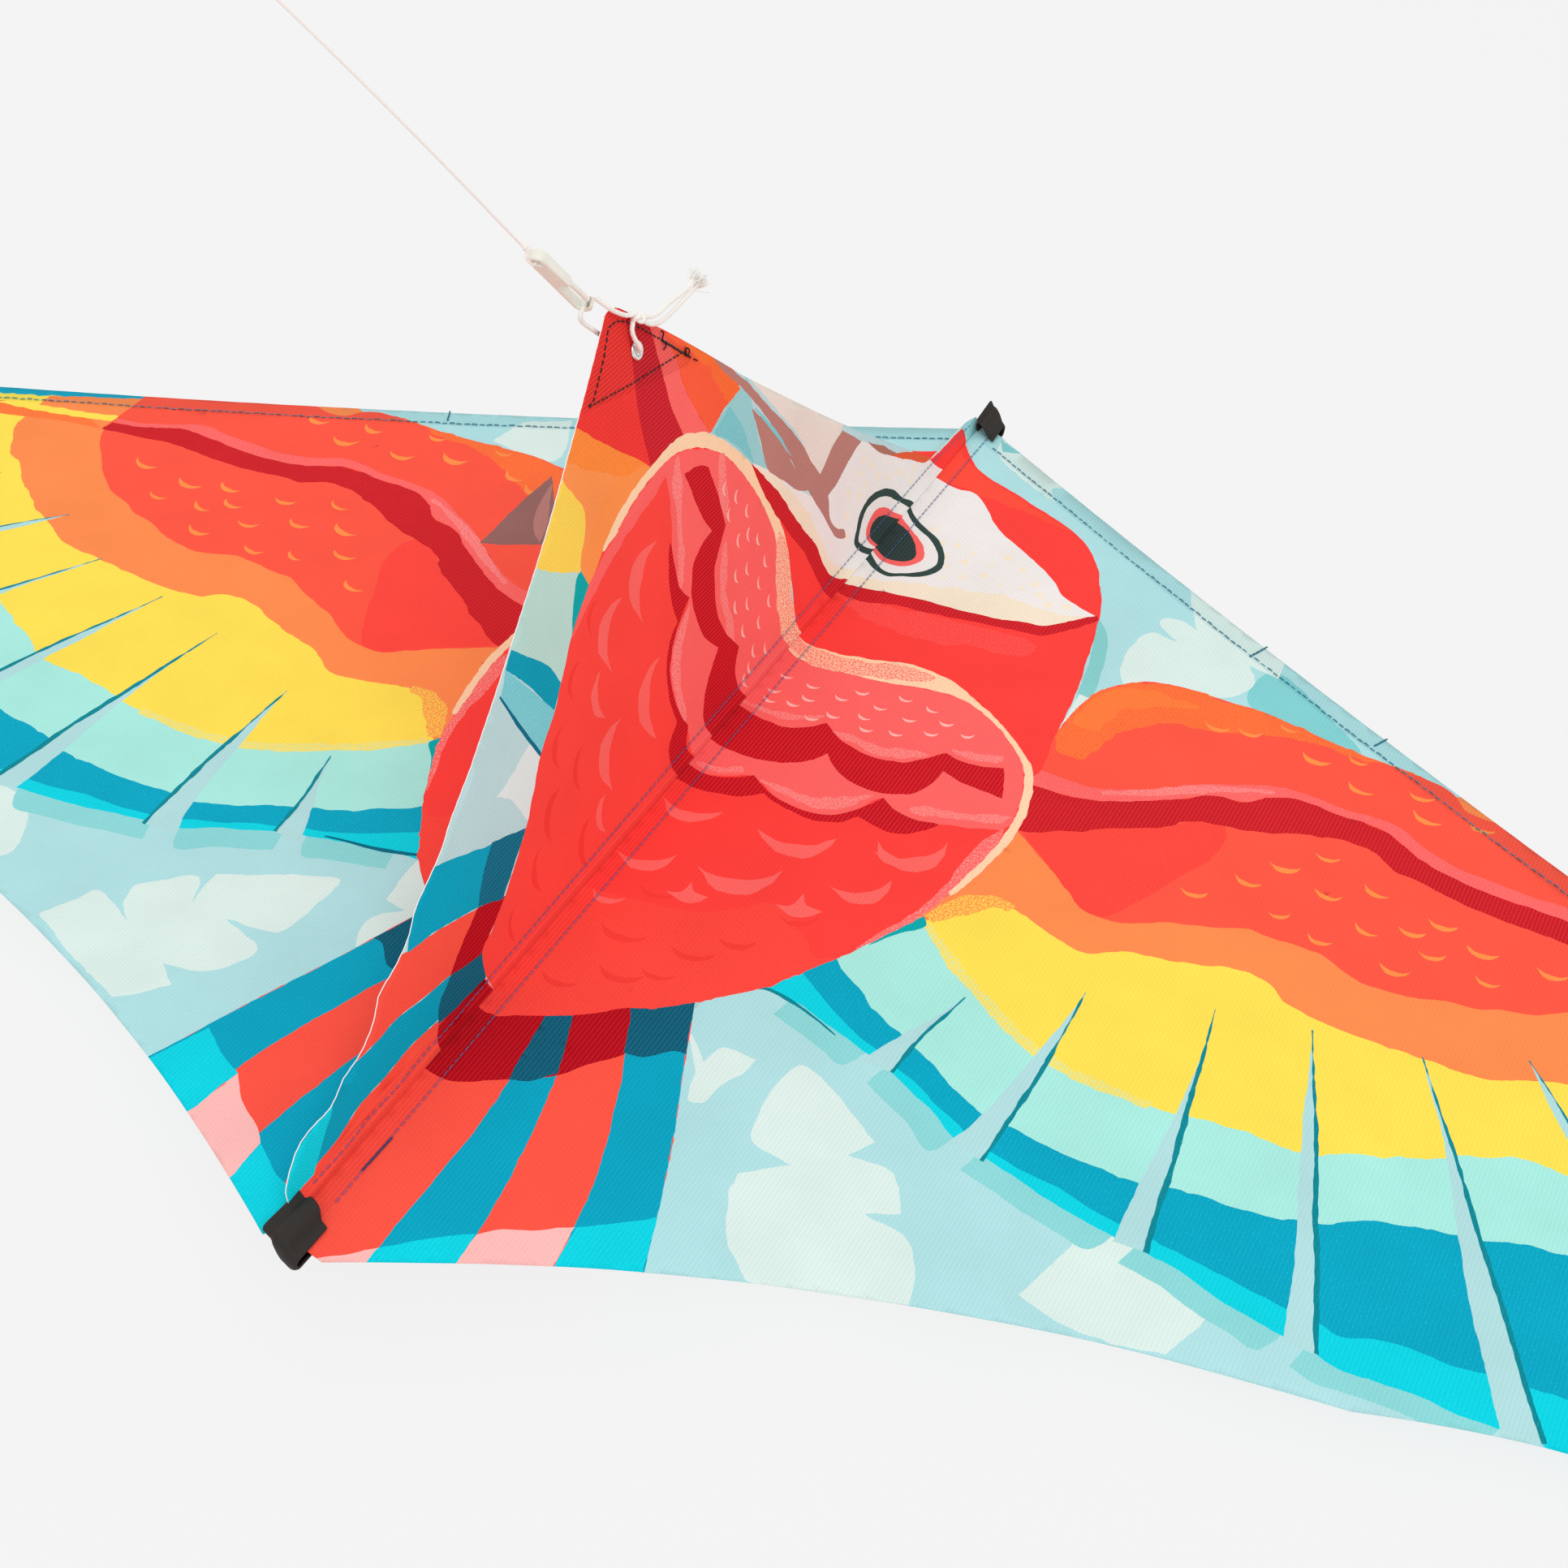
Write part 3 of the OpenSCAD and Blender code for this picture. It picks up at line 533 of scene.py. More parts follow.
def tail(art, pale_end=True):
    """Striped tail under the body, with its shadow."""
    art.paint(TAIL_RED, [(-12, 190, 1)] + corner_ends(STRIPE_D) + [(24.5, -6, 1), (-12, -6, 1)],
              chalk=WING_RED, amount=0.4)
    art.paint(TEAL, both(corner_ends(STRIPE_A), corner_ends(STRIPE_B)), chalk=TEAL_DRY, amount=0.4)
    art.paint(TEAL, both(corner_ends(STRIPE_C), corner_ends(STRIPE_D)), chalk=TEAL_DRY, amount=0.4)
    if pale_end:
        art.paint(TAIL_PINK, [(9, 3, 1), (17, 10), (24.5, 18, 1), (24.5, -4, 1)], chalk=(255, 170, 165),
                  amount=0.3)
        art.paint(CYAN, [(24.5, 18, 1), (35, 29), (49, 40.5, 1), (51, 14, 1), (24.5, -2, 1)],
                  chalk=CYAN_DRY, amount=0.4)
        art.paint(TAIL_PINK, [(49.3, 40.5, 1), (56, 47), (66, 53), (76.5, 61, 1), (80, 30, 1), (51, 14, 1)],
                  chalk=TAIL_PINK_DRY, amount=0.3)
        art.paint(CYAN, [(76.5, 61, 1), (88, 70), (98.5, 80, 1), (109, 46, 1), (81, 26, 1)], chalk=CYAN_DRY,
                  amount=0.4)
    # the body's shadow on the tail
    art.paint(SHADE_RED, [(-12, 97, 1), (0, 94), (8, 96), (15, 101), (22, 106), (29, 111), (36, 118),
                          (43, 129), (51, 140), (52, 150), (56, 188, 1), (-12, 188, 1)], chalk=(168, 4, 22),
              amount=0.4, dots=0.4)
    art.paint(SHADE_TEAL, [(22, 106, 1), (29, 110), (35.5, 119, 1), (31, 133), (26, 146), (22, 154, 1),
                           (16, 150, 1), (18, 136), (20, 120)], chalk=SHADE_TEAL_DRY, amount=0.4, dots=0.4)
    art.paint(SHADE_TEAL, [(51, 141, 1), (58, 143), (66, 152), (71, 153, 1), (68, 160), (61, 178),
                           (56, 188, 1), (38, 170, 1), (44, 158)], chalk=SHADE_TEAL_DRY, amount=0.4,
              dots=0.4)


def body(art):
    """Belly, folded wings and their scallops."""
    outline = [(-10, 406, 1)] + RIM_OUT[1:] + BELLY
    art.paint(RED, outline, chalk=LOW_RED, amount=0.3)
    art.paint(LOW_RED, [(-10, 210, 1), (20, 215), (45, 225), (62, 243), (76, 236), (90, 225), (98, 231),
                        (88, 213), (79, 198), (70, 188), (61, 178), (50, 167), (40, 160), (29, 149),
                        (18, 141), (8, 135), (0, 131), (-10, 134, 1)], rough=1.6, chalk=RED, amount=0.45)
    for u, v, width, turn in ((20, 195, 20, 6), (48, 200, 18, 14), (30, 175, 18, 10), (60, 215, 16, 22),
                              (12, 160, 16, 4), (75, 240, 16, 30), (42, 183, 14, 12), (20, 222, 14, 8)):
        art.smile(FAINT_RED, u, v, width, turn, depth=0.22)
    for u, v, width, turn in BIG:
        art.smile(BELLY_PINK, u, v, width, turn, chalk=PINK_DRY, amount=0.35)
    for u, v, width, turn in LEAVES:
        pts = [(-0.5, -0.25, 1), (-0.2, -0.1), (-0.12, 0.42, 1), (0.1, 0.12), (0.5, 0.14, 1), (0.3, -0.2),
               (0, -0.38)]
        art.paint(BELLY_PINK, [(u + width * x[0], v + width * x[1], *x[2:]) for x in pts], chalk=PINK_DRY,
                  amount=0.35)
    # rim of the belly, then the folded wing
    art.paint(PINK, [(120, 292, 1), (116, 273), (109, 254), (101, 238), (104, 250), (112, 271), (116, 293),
                     (117, 320), (123, 338, 1), (125, 318)], rough=0.7, chalk=BLUSH, amount=0.4)
    art.paint(RIM, both(RIM_OUT, RIM_IN), rough=0.7, chalk=PINK, amount=0.30)
    art.paint(PINK, RIM_IN[:-3] + [(122, 336, 1), (108, 329), (98, 325), (88, 321), (78, 322), (72, 326),
                                   (66, 314), (60, 305), (50, 300), (36, 300), (20, 306), (10, 299),
                                   (0, 296), (-10, 299, 1)], rough=0.8, chalk=(255, 118, 114), amount=0.34)
    art.paint(RIM, [(-10, 405, 1), (0, 400), (20, 402), (45, 412), (60, 412), (50, 404), (30, 395),
                    (10, 388), (-10, 395, 1)], rough=1.6, chalk=PINK, amount=0.52)
    for pts in ([(36, 352), (48, 350), (60, 350), (70, 355), (78, 363), (68, 360), (56, 355), (44, 355)],
                [(84, 371), (92, 370), (104, 374), (106, 379), (98, 377), (90, 374)], [(86, 325), (96, 329),
            (108, 334), (120, 341), (123, 346), (110, 340), (96, 334), (84, 329)], [(24, 306), (36, 303),
            (50, 304), (60, 310), (66, 322), (68, 326), (58, 318), (46, 309), (34, 308)], [(0, 299.5),
            (8, 301), (16, 306), (14, 309), (6, 304), (-4, 302)], [(-8, 349), (4, 346), (14, 347),
            (22, 352), (28, 359), (18, 353), (6, 350)]):
        art.paint(LIGHT_PINK, pts, rough=1.4, chalk=PINK, amount=0.5)
    art.paint(CRIMSON, BAND_1, rough=0.6, dots=0.75, chalk=CRIMSON_DRY, amount=0.4)
    art.paint(CRIMSON, BAND_2, rough=0.6, dots=0.75, chalk=CRIMSON_DRY, amount=0.4)
    for u, v, turn in TINY:
        art.smile(BLUSH, u, v, 6.6, turn)


def crown_and_face_right(art):
    """Head on the right of the spine."""
    art.paint(RED, [(-9, 600, 1), (-3, 590), (2, 584), (8, 577), (17, 572.5), (30, 569), (46, 564),
                    (62, 558.5), (75, 552), (83, 544), (90, 534), (95, 523), (100.5, 511), (104, 499),
                    (108, 482), (112, 460), (115.5, 440), (118, 418), (119, 404), (122, 380), (116, 370),
                    (-10, 380, 1)], chalk=LOW_RED, amount=0.3)
    art.paint((255, 80, 60), [(-9, 592, 1), (0, 581), (10, 574), (30, 567), (50, 561), (66, 555), (40, 557),
                              (20, 556), (-9, 558, 1)], rough=1.5, chalk=RED, amount=0.4)
    art.paint((255, 86, 82), [(0, 441), (14, 446), (34, 452), (56, 458), (78, 463), (88, 461), (84, 449),
                              (66, 444), (48, 436), (30, 433), (12, 433)], rough=2.0, chalk=RED, amount=0.5)
    art.paint(FACE, [(-10, 560, 1), (0, 556), (7, 554.5), (15, 556), (21, 552.5), (27, 546.5), (33, 539),
                     (41, 532.5), (55, 525), (68, 517.5), (77, 511), (83, 504.5), (91, 501.5),
                     (103, 498.5, 1), (96, 486), (86, 476), (60, 467), (30, 460), (0, 452), (-10, 452, 1)],
              chalk=(236, 230, 229), amount=0.3)
    for u, v in ((11, 517), (19, 509), (26, 511), (35, 510), (50, 517), (60, 512), (46, 506), (69, 505),
                 (24, 500), (28, 493), (56, 495), (65, 498), (80, 494), (38, 490), (24, 487), (46, 497),
                 (74, 499), (88, 498), (34, 501), (31, 483)):
        size = 2.2 + 0.7 * math.sin(u + v)
        art.paint(SPECK, [(u - size, v - size * 0.8, 1), (u + size, v - size, 1), (u + 0.3, v + size, 1)],
                  rough=0.3, step=1.5)
    art.paint(CREAM, [(101, 497, 1), (92, 492), (80, 489), (66, 488.5), (54, 486), (44, 481), (34, 476),
                      (24, 472), (12, 466), (0, 461), (-10, 458, 1), (-10, 450, 1), (0, 452), (30, 460),
                      (60, 468), (86, 477), (94, 486)], rough=1.6, chalk=FACE, amount=0.34)
    art.paint(DARK_RED, [(-10, 452.5, 1), (0, 453), (15, 457), (30, 461.5), (45, 464.5), (60, 468.5),
                         (75, 474), (85.5, 478), (92, 486), (98, 494), (102.5, 499, 1), (104.5, 497),
                         (100, 488), (94, 479), (87, 469.5), (78, 467), (64, 463), (50, 458.5), (35, 454),
                         (20, 450), (10, 445), (0, 443), (-10, 446.5, 1)], rough=0.7, chalk=CRIMSON,
              amount=0.4, dots=0.55)
    ring = [(-10, 533, 1), (-4, 524.5), (0, 520), (8, 514.5), (15, 510.5), (20.5, 505), (25, 497.5),
            (27, 490), (25.5, 483), (21, 477), (14, 472), (8, 468.5), (1, 470), (-10, 478.5, 1)]
    hole = [(-10, 486.5, 1), (-4, 479), (2, 473.5), (8, 471.5), (13, 474.5), (19, 479.5), (22.5, 485),
            (23.8, 490.5), (22, 497), (17.5, 503.5), (12, 508), (5, 512), (-2, 518), (-10, 528, 1)]
    art.paint(GREEN, ring, step=1.6, rough=0.35, dots=0.3)
    art.paint(FACE, hole, step=1.6, rough=0.35)
    art.paint(PINK, [(-10, 520, 1), (0, 511.5), (8, 505), (13.5, 499), (17, 491), (15, 484), (10.5, 479.5),
                     (4, 478), (-2, 480), (-10, 487, 1)], step=1.6, rough=0.35)
    art.paint(PUPIL, [(-10, 513.5, 1), (0, 508.5), (6, 503), (10, 497.5), (13, 490.5), (12, 485.5),
                      (7.5, 482.3), (2, 481.5), (-3, 484), (-10, 490, 1)], step=1.6, rough=0.3, dots=0.45)


# ---------------------------------------------------------------- the three prints
def hem_edge(a, b, n):
    """Points along a leading edge from distance a to distance b of the spine."""
    return [(a + (b - a) * i / n, lead_v(a + (b - a) * i / n)) for i in range(n + 1)]


def painted_hem_shade(art, start, end):
    """Painted shade on the folded hem: the hem doubles the cloth, which lets less light through, so its ink is
    darkened a little.
    """
    edge = hem_edge(start, end, 60)
    inner = []
    for u, v in edge[::-1]:
        d = Vector((u - ARC_C.x, v - ARC_C.y)).normalized()
        inner.append((u + d.x * HEM, v + d.y * HEM))
    outer = [(u, v + 3) for u, v in edge]
    art.tint((238, 243, 243), outer + inner, dots=0.35)


def sheet_of(ink, chalk, amount):
    """A print whose whole sheet has one ink so far."""
    art = Print()
    art.paint(ink, [(-30, -20, 1), (620, -20, 1), (620, 660, 1), (-30, 660, 1)], rough=0, step=700,
              chalk=chalk, amount=amount)
    return art


def right_print():
    art = sheet_of(SKY, (170, 220, 226), 0.3)
    art.paint(PALE, [(109, 171), (123, 168), (149, 153, 1), (143, 142, 1), (161, 143), (171, 128, 1),
                     (160, 121, 1), (177, 119), (187, 104), (190, 90), (188, 80), (160, 76), (137, 72, 1),
                     (124, 84), (115, 102), (113, 113, 1), (128, 127, 1), (111, 129), (106, 150)],
              rough=0.8)
    art.paint(PALE, [(78, 152), (81, 164), (94, 165, 1), (93, 156), (89, 148), (87, 136, 1), (82, 134),
                     (79, 142)])
    art.paint(PALE, [(67, 163), (78, 153), (81, 142, 1), (76, 150)])
    art.paint(PALE, [(221, 118, 1), (228, 145), (233, 160), (243, 162, 1), (243, 176), (249, 181, 1),
                     (250, 160, 1), (268, 158), (281, 154), (280, 140), (274, 122, 1), (262, 118),
                     (240, 114)], rough=0.8)
    art.paint(PALE, [(14, 616, 1), (9, 607), (11, 596), (20, 588), (36, 580), (52, 573, 1), (46, 584),
                     (54, 590), (40, 600), (22, 614, 1)], rough=0.8)
    art.paint((136, 209, 211), [(8, 608, 1), (21, 603, 1), (13, 598.5, 1)], rough=0.5)
    art.paint(PALE, [(60, 597, 1), (66, 584), (78, 576), (96, 570, 1), (92, 580), (84, 590, 1)], rough=0.8)
    art.paint(MINT_SHADE, [(104, 497), (110, 492), (116, 478), (121, 455), (123, 440, 1), (117, 436, 1),
                           (113, 460), (108, 482)])
    art.paint((132, 210, 212), [(188, 510), (232, 484), (240, 474), (212, 474), (184, 480)], rough=0.8)
    art.paint(PALE, [(130, 553, 1), (139, 532, 1), (147, 517, 1), (138, 520.5), (131, 518), (130, 511),
                     (142, 503.5, 1), (130, 504), (125.5, 497), (124.5, 480), (127, 466), (133, 458),
                     (143, 466), (160, 472), (170, 475), (179, 483), (182.5, 495), (176, 507, 1),
                     (191, 506, 1), (189, 523), (186, 536, 1)], rough=0.8)
    art.paint(PALE, [(117, 440, 1), (122, 440, 1), (121, 425), (119, 404, 1)])
    wing(art)
    art.stroke(INK_LINE, [(70, 192), (80, 199), (92, 198.5), (104, 195.5), (114, 192)], (0.8, 0.9, 0.3))
    art.paint((0, 172, 176), [(116, 271, 1), (119, 266), (112, 256), (104, 242, 1), (109, 257)])
    tail(art)
    crown_and_face_right(art)
    body(art)
    # painted shade: the seam allowance of the keel lies under this strip, and the doubled cloth lets less light
    # through
    art.tint((252, 232, 238), [(-9, 0), (1.2, 0), (1.2, 440), (-9, 440)], dots=0.5)
    painted_hem_shade(art, 6, HALF_SPAN)
    return art


def ease(x, low, high):
    """Smooth step from 0 at low to 1 at high."""
    t = min(1, max(0, (x - low) / (high - low)))
    return t * t * (3 - 2 * t)


def left_warp(u, v):
    """The left wing's print sits a little closer to the spine and lower than the right wing's."""
    closer = 9 * (1 - ease(u, 120, 270)) * ease(u, 4, 40)
    return u - closer, v - 8 + 7 * ease(v, 440, 480) + 4 * (1 - ease(v, 40, 90))


def left_print():
    art = sheet_of(SKY, (170, 220, 226), 0.3)
    art.paint(PALE, [(92, 167), (107, 162), (125, 152), (137, 147, 1), (136, 138), (134, 127, 1),
                     (142, 142), (153, 134), (160, 126), (157, 115), (150, 108, 1), (160, 113), (171, 117),
                     (176, 107), (182, 95, 1), (155, 82), (128, 71, 1), (120, 78), (113, 87, 1),
                     (123, 95, 1), (108, 98), (100, 108), (97, 119), (117, 127, 1), (96, 131), (92, 150)],
              rough=0.8)
    art.paint(PALE, [(60, 200), (71, 194), (70, 166, 1), (60, 164, 1), (68, 156), (69, 147), (64, 136, 1),
                     (57, 150), (50, 165)], rough=0.6)
    art.paint(PALE, [(216, 117), (219, 132), (227, 143), (240, 150), (256, 146), (250, 126), (230, 112)],
              rough=0.8)
    art.paint(PALE, [(176, 478), (180, 497), (189, 516, 1), (210, 503, 1), (213, 480, 1), (190, 475)],
              rough=0.8)
    art.warp = left_warp
    wing(art)
    art.warp = None
    art.stroke((0, 110, 134), [(66, 197), (80, 192), (92, 189), (103, 187.5), (112, 186)], (0.8, 1.1, 0.3))
    art.paint((0, 172, 176), [(106, 264, 1), (109, 258), (102, 249), (94, 235, 1), (99, 250)])
    art.warp = left_warp
    tail(art, pale_end=False)
    body(art)
    art.warp = None
    art.paint(CYAN, [(4, 25, 1), (14, 24), (24, 28), (37, 37, 1), (37, 10, 1), (4, -6, 1)], chalk=CYAN_DRY,
              amount=0.4)
    art.paint(TAIL_PINK, [(8, 28, 1), (11, 25), (12.5, 18), (12, 10, 1), (8, 8, 1)], chalk=TAIL_PINK_DRY,
              amount=0.3)
    art.paint(TAIL_PINK, [(37, 37, 1), (44, 44), (54, 50), (64, 61, 1), (70, 30, 1), (37, 10, 1)],
              chalk=TAIL_PINK_DRY, amount=0.3)
    art.paint(CYAN, [(64, 61, 1), (74, 66), (87, 75, 1), (99, 44, 1), (70, 26, 1)], chalk=CYAN_DRY,
              amount=0.4)
    # a part of the beak shows beyond the keel
    art.paint(BEAK, [(66, 536, 1), (95, 528), (125, 505), (146, 470), (150, 430), (138, 440), (120, 462),
                     (95, 475), (78, 480)])
    art.paint((148, 102, 98), [(171, 466, 1), (172, 440), (171, 399, 1), (160, 403), (144, 412, 1),
                               (150, 428), (158, 446)], rough=0.4, chalk=(160, 112, 106), amount=0.4)
    art.paint((184, 126, 118), [(168, 462, 1), (160, 445), (152, 430), (146, 412, 1), (154, 420),
                                (162, 436)], rough=0.4, chalk=(172, 116, 110), amount=0.4)
    art.paint(FACE, [(6, 560), (30, 556), (52, 548), (70, 530), (85, 505), (80, 480), (60, 462), (30, 452),
                     (6, 452)])
    art.paint(RED, [(6, 586, 1), (20, 578), (38, 568), (52, 552), (30, 556), (6, 560, 1)])
    # painted shade: the keel's seam allowance lies under this strip, and the doubled cloth lets less light
    # through
    art.tint((252, 232, 238), [(6, 0), (9.5, 0), (9.5, 440), (6, 440)], dots=0.5)
    painted_hem_shade(art, 6, HALF_SPAN)
    return art


K_RIM_OUT = [(2, 405, 1), (12, 406), (22, 407), (35, 411.5), (50, 413.5), (62, 412), (80, 406), (97, 397.5),
             (112, 385), (124, 372), (132, 358), (135, 343), (134, 325), (131, 305), (127, 293), (120, 279)]
K_RIM_IN = [(2, 396, 1), (14, 397), (26, 396), (40, 400), (56, 405), (76, 400), (92, 392), (108, 381),
            (119, 368), (126, 355), (130, 342), (130, 325), (127, 307), (122, 292)]
K_BELLY = [(114, 268), (104, 250), (90, 234), (80, 223), (71, 209), (60, 198), (50, 188), (42, 177),
           (34, 165), (28, 154), (23.5, 144), (5, 142, 1)]


def keel_print():
    art = sheet_of((190, 222, 224), (198, 218, 220), 0.4)
    art.paint((226, 236, 234), [(74, 214, 1), (63, 204), (52, 190, 1), (60, 187), (66, 184), (72, 176, 1),
                                (74, 190), (78, 204)], rough=0.8)
    # tail stripes
    art.paint(TAIL_RED, [(5, 142, 1), (14, 141), (15.5, 125), (17.5, 108), (19, 90), (18.5, 70), (17, 50),
                         (14, 20, 1), (5, 0, 1)], chalk=WING_RED, amount=0.4)
    art.paint(TEAL, [(14, 141, 1), (23, 146, 1), (28, 125), (31, 105), (33.5, 85), (34, 65), (34, 50, 1),
                     (14, 18, 1), (17, 50), (18.5, 70), (19, 90), (17.5, 108), (15.5, 125)], chalk=TEAL_DRY,
              amount=0.4)
    art.paint(TAIL_RED, [(23, 144, 1), (34, 165, 1), (41, 148), (47, 128), (52, 108), (60, 80, 1),
                         (34, 55, 1), (33.5, 85), (31, 105), (28, 125)], chalk=WING_RED, amount=0.4)
    art.paint(TEAL, [(34, 163, 1), (50, 188, 1), (56, 171), (62, 155), (69, 138), (74, 120, 1),
                     (52, 106, 1), (47, 128), (41, 148)], chalk=TEAL_DRY, amount=0.4)
    art.paint(SHADE_RED, [(5, 142, 1), (14, 141, 1), (15, 125), (15.5, 110, 1), (10, 106), (5, 104, 1)],
              dots=0.5)
    art.paint(SHADE_TEAL, [(13, 142, 1), (24, 146, 1), (28, 124, 1), (22, 113), (15.5, 110, 1)],
              chalk=(3, 104, 128), amount=0.4, dots=0.5)
    art.paint(SHADE_RED, [(23, 143, 1), (34, 166, 1), (41, 149, 1), (35, 136), (28, 123, 1)], dots=0.5)
    art.paint((2, 112, 140), [(34, 164, 1), (50, 188, 1), (58, 167, 1), (50, 157), (41, 149, 1)],
              chalk=(3, 98, 126), amount=0.4, dots=0.5)
    art.paint(CYAN, [(13, 30, 1), (22, 40), (34, 56, 1), (40, 34, 1), (13, 10, 1)], chalk=CYAN_DRY,
              amount=0.4)
    # the far wing's feathers behind the body
    art.paint((186, 224, 214), [(86, 230, 1), (101, 247), (112, 268, 1), (122, 262, 1), (140, 232, 1),
                                (118, 209, 1)], chalk=(196, 218, 210), amount=0.4)
    art.paint((2, 170, 172), [(101, 246, 1), (113, 269, 1), (121, 261), (112, 252)], rough=0.6)
    art.paint((3, 160, 186), [(80, 223, 1), (88, 232, 1), (99, 227), (117, 208.5, 1), (112, 202, 1),
                              (98, 213)], chalk=(2, 148, 176), amount=0.4)
    art.paint((120, 206, 216), [(80, 224, 1), (70, 209, 1), (88, 202), (104, 195, 1), (112, 202, 1),
                                (98, 212)], chalk=(150, 214, 220), amount=0.4)
    art.stroke((3, 112, 140), [(69, 209), (78, 205), (90, 200), (105, 194.5)], (0.9, 1.0, 0.5))
    art.paint((255, 152, 84), [(120, 262, 1), (110, 268), (116, 300), (130, 340, 1), (150, 320),
                               (185, 290, 1), (172, 268), (160, 256, 1), (140, 262)], chalk=(255, 140, 66),
              amount=0.4)
    art.paint((254, 216, 88), [(120, 261, 1), (127, 266), (134, 271), (142, 273), (152, 268), (164, 262, 1),
                               (139, 231, 1), (128, 248)], rough=1.2, chalk=(255, 196, 84), amount=0.36)
    art.paint((255, 138, 54), [(137, 336, 1), (150, 318), (166, 298), (180, 284, 1), (166, 266, 1),
                               (158, 276), (146, 294), (136, 312), (132, 326)], rough=1.8,
              chalk=(255, 150, 80), amount=0.42)
    art.paint((255, 150, 78), [(133, 338, 1), (130, 306), (122, 286), (114, 268, 1), (122, 264, 1),
                               (132, 277), (140, 293), (137, 315)], rough=1.0, chalk=(255, 142, 70),
              amount=0.4)
    # bands at the tow point
    art.paint((243, 58, 52), [(130, 330, 1), (126, 374, 1), (134, 404, 1), (216, 340, 1), (206, 312, 1),
                              (177, 279, 1), (162, 292, 1), (148, 308, 1)], chalk=(236, 46, 46), amount=0.4,
              dots=0.35)
    art.paint((243, 58, 52), [(133, 324, 1), (150, 324), (165, 325), (180, 328), (200, 334, 1),
                              (206, 316, 1), (176, 278, 1), (163, 292), (149, 308)], chalk=(236, 46, 46),
              amount=0.4, dots=0.35)
    art.paint((208, 26, 42), [(132, 352, 1), (148, 348), (165, 347), (180, 346), (196, 345, 1),
                              (200, 331, 1), (180, 328.5), (165, 325.5), (150, 323.5), (134, 323.5, 1)],
              chalk=(190, 22, 38), amount=0.42, dots=0.75)
    art.paint((255, 104, 100), [(124, 371, 1), (138, 365), (152, 360), (168, 359), (178, 354, 1),
                                (196, 345, 1), (180, 346), (165, 347), (148, 348), (132, 352, 1)],
              chalk=(255, 122, 116), amount=0.4, dots=0.25)
    art.paint((255, 92, 60), [(131, 401, 1), (150, 390), (172, 374, 1), (178, 354, 1), (163, 359),
                              (150, 360.5), (138, 365), (125, 371, 1), (129, 385)], chalk=(255, 104, 60),
              amount=0.45, dots=0.15)
    art.paint((255, 116, 54), [(131, 401, 1), (140, 396), (150, 388), (156, 382), (146, 382), (137, 386),
                               (130, 390)], rough=2.0, chalk=(255, 96, 58), amount=0.45)
    art.paint((255, 118, 54), [(157, 388, 1), (166, 378), (178, 366, 1), (172, 364), (162, 372),
                               (152, 380)], rough=1.2, chalk=(255, 96, 58), amount=0.4)
    # white face and beak
    art.paint((160, 214, 217), [(86, 411, 1), (100, 408), (118, 407), (134, 408, 1), (131, 400, 1),
                                (129, 386), (125, 372, 1), (118, 380), (110, 388), (96, 399, 1)],
              chalk=(140, 208, 212), amount=0.4)
    art.paint((122, 204, 210), [(96, 400, 1), (110, 389), (124, 373, 1), (128, 390, 1), (116, 396)],
              rough=1.0, chalk=(160, 214, 217), amount=0.4)
    art.paint(BEAK, [(76, 484, 1), (72, 478), (66, 466), (62, 452), (75, 446), (90, 440), (106, 428),
                     (120, 418), (134, 407), (160, 382, 1), (150, 404, 1), (90, 476, 1)])
    art.paint(FACE, [(5, 573, 1), (12, 566), (17, 559), (27, 546), (36, 526), (45, 512), (58, 497),
                     (60, 486), (56, 468), (50, 454), (56, 445), (70, 429), (88, 410), (97, 399, 1),
                     (80, 403), (60, 416), (40, 429), (20, 439), (5, 448, 1)], chalk=(238, 233, 228),
              amount=0.3)
    art.paint(CREAM, [(5, 470, 1), (13, 455), (20, 448), (35, 443.5), (50, 438), (65, 429), (80, 417),
                      (96, 400, 1), (80, 404), (65, 412), (45, 425), (20, 438), (5, 447, 1)], rough=1.4,
              chalk=FACE, amount=0.32)
    for u, v in ((36, 505), (44, 500), (38, 493), (30, 514), (46, 488), (36, 484), (28, 524), (42, 475),
                 (24, 531), (34, 470), (25, 466), (17, 536), (50, 494), (22, 540)):
        art.paint(SPECK, [(u - 2.4, v - 1.8, 1), (u + 2.2, v - 2, 1), (u + 0.4, v + 2.2, 1)], rough=0.3,
                  step=1.5)
    art.paint(RED, [(5, 591, 1), (9, 597), (12, 598.5), (15, 597, 1), (15.6, 585), (15.5, 573),
                    (17, 558, 1), (11, 563), (5, 568, 1)], chalk=(255, 58, 50), amount=0.35)
    art.paint((150, 214, 216), [(5, 640, 1), (30, 640, 1), (28, 600, 1), (15, 597, 1), (12, 598.5),
                                (9, 597), (5, 591, 1)], chalk=PALE, amount=0.35)
    art.paint((202, 230, 226), [(15, 597, 1), (28, 600, 1), (24, 560, 1), (16.5, 560, 1), (15.5, 580)])
    art.paint((232, 96, 58), [(17, 560, 1), (25, 550), (33, 535), (40, 518, 1), (34, 527), (26, 540),
                              (19, 551)], rough=0.4)
    art.paint((176, 118, 102), [(36, 527, 1), (46, 515), (56, 500, 1), (47, 508), (40, 518)], rough=0.4)
    art.paint(BROWN, [(59, 495, 1), (72, 480, 1), (70, 470), (65, 458), (62, 450, 1), (50, 455, 1),
                      (52, 468), (56, 480)], chalk=(178, 120, 112), amount=0.4)
    art.paint(BROWN, [(60, 444, 1), (75, 433.5), (88, 428), (105, 418), (119, 406.5, 1), (103, 408.5),
                      (88, 410), (78, 420), (66, 432)], chalk=(180, 122, 114), amount=0.4)
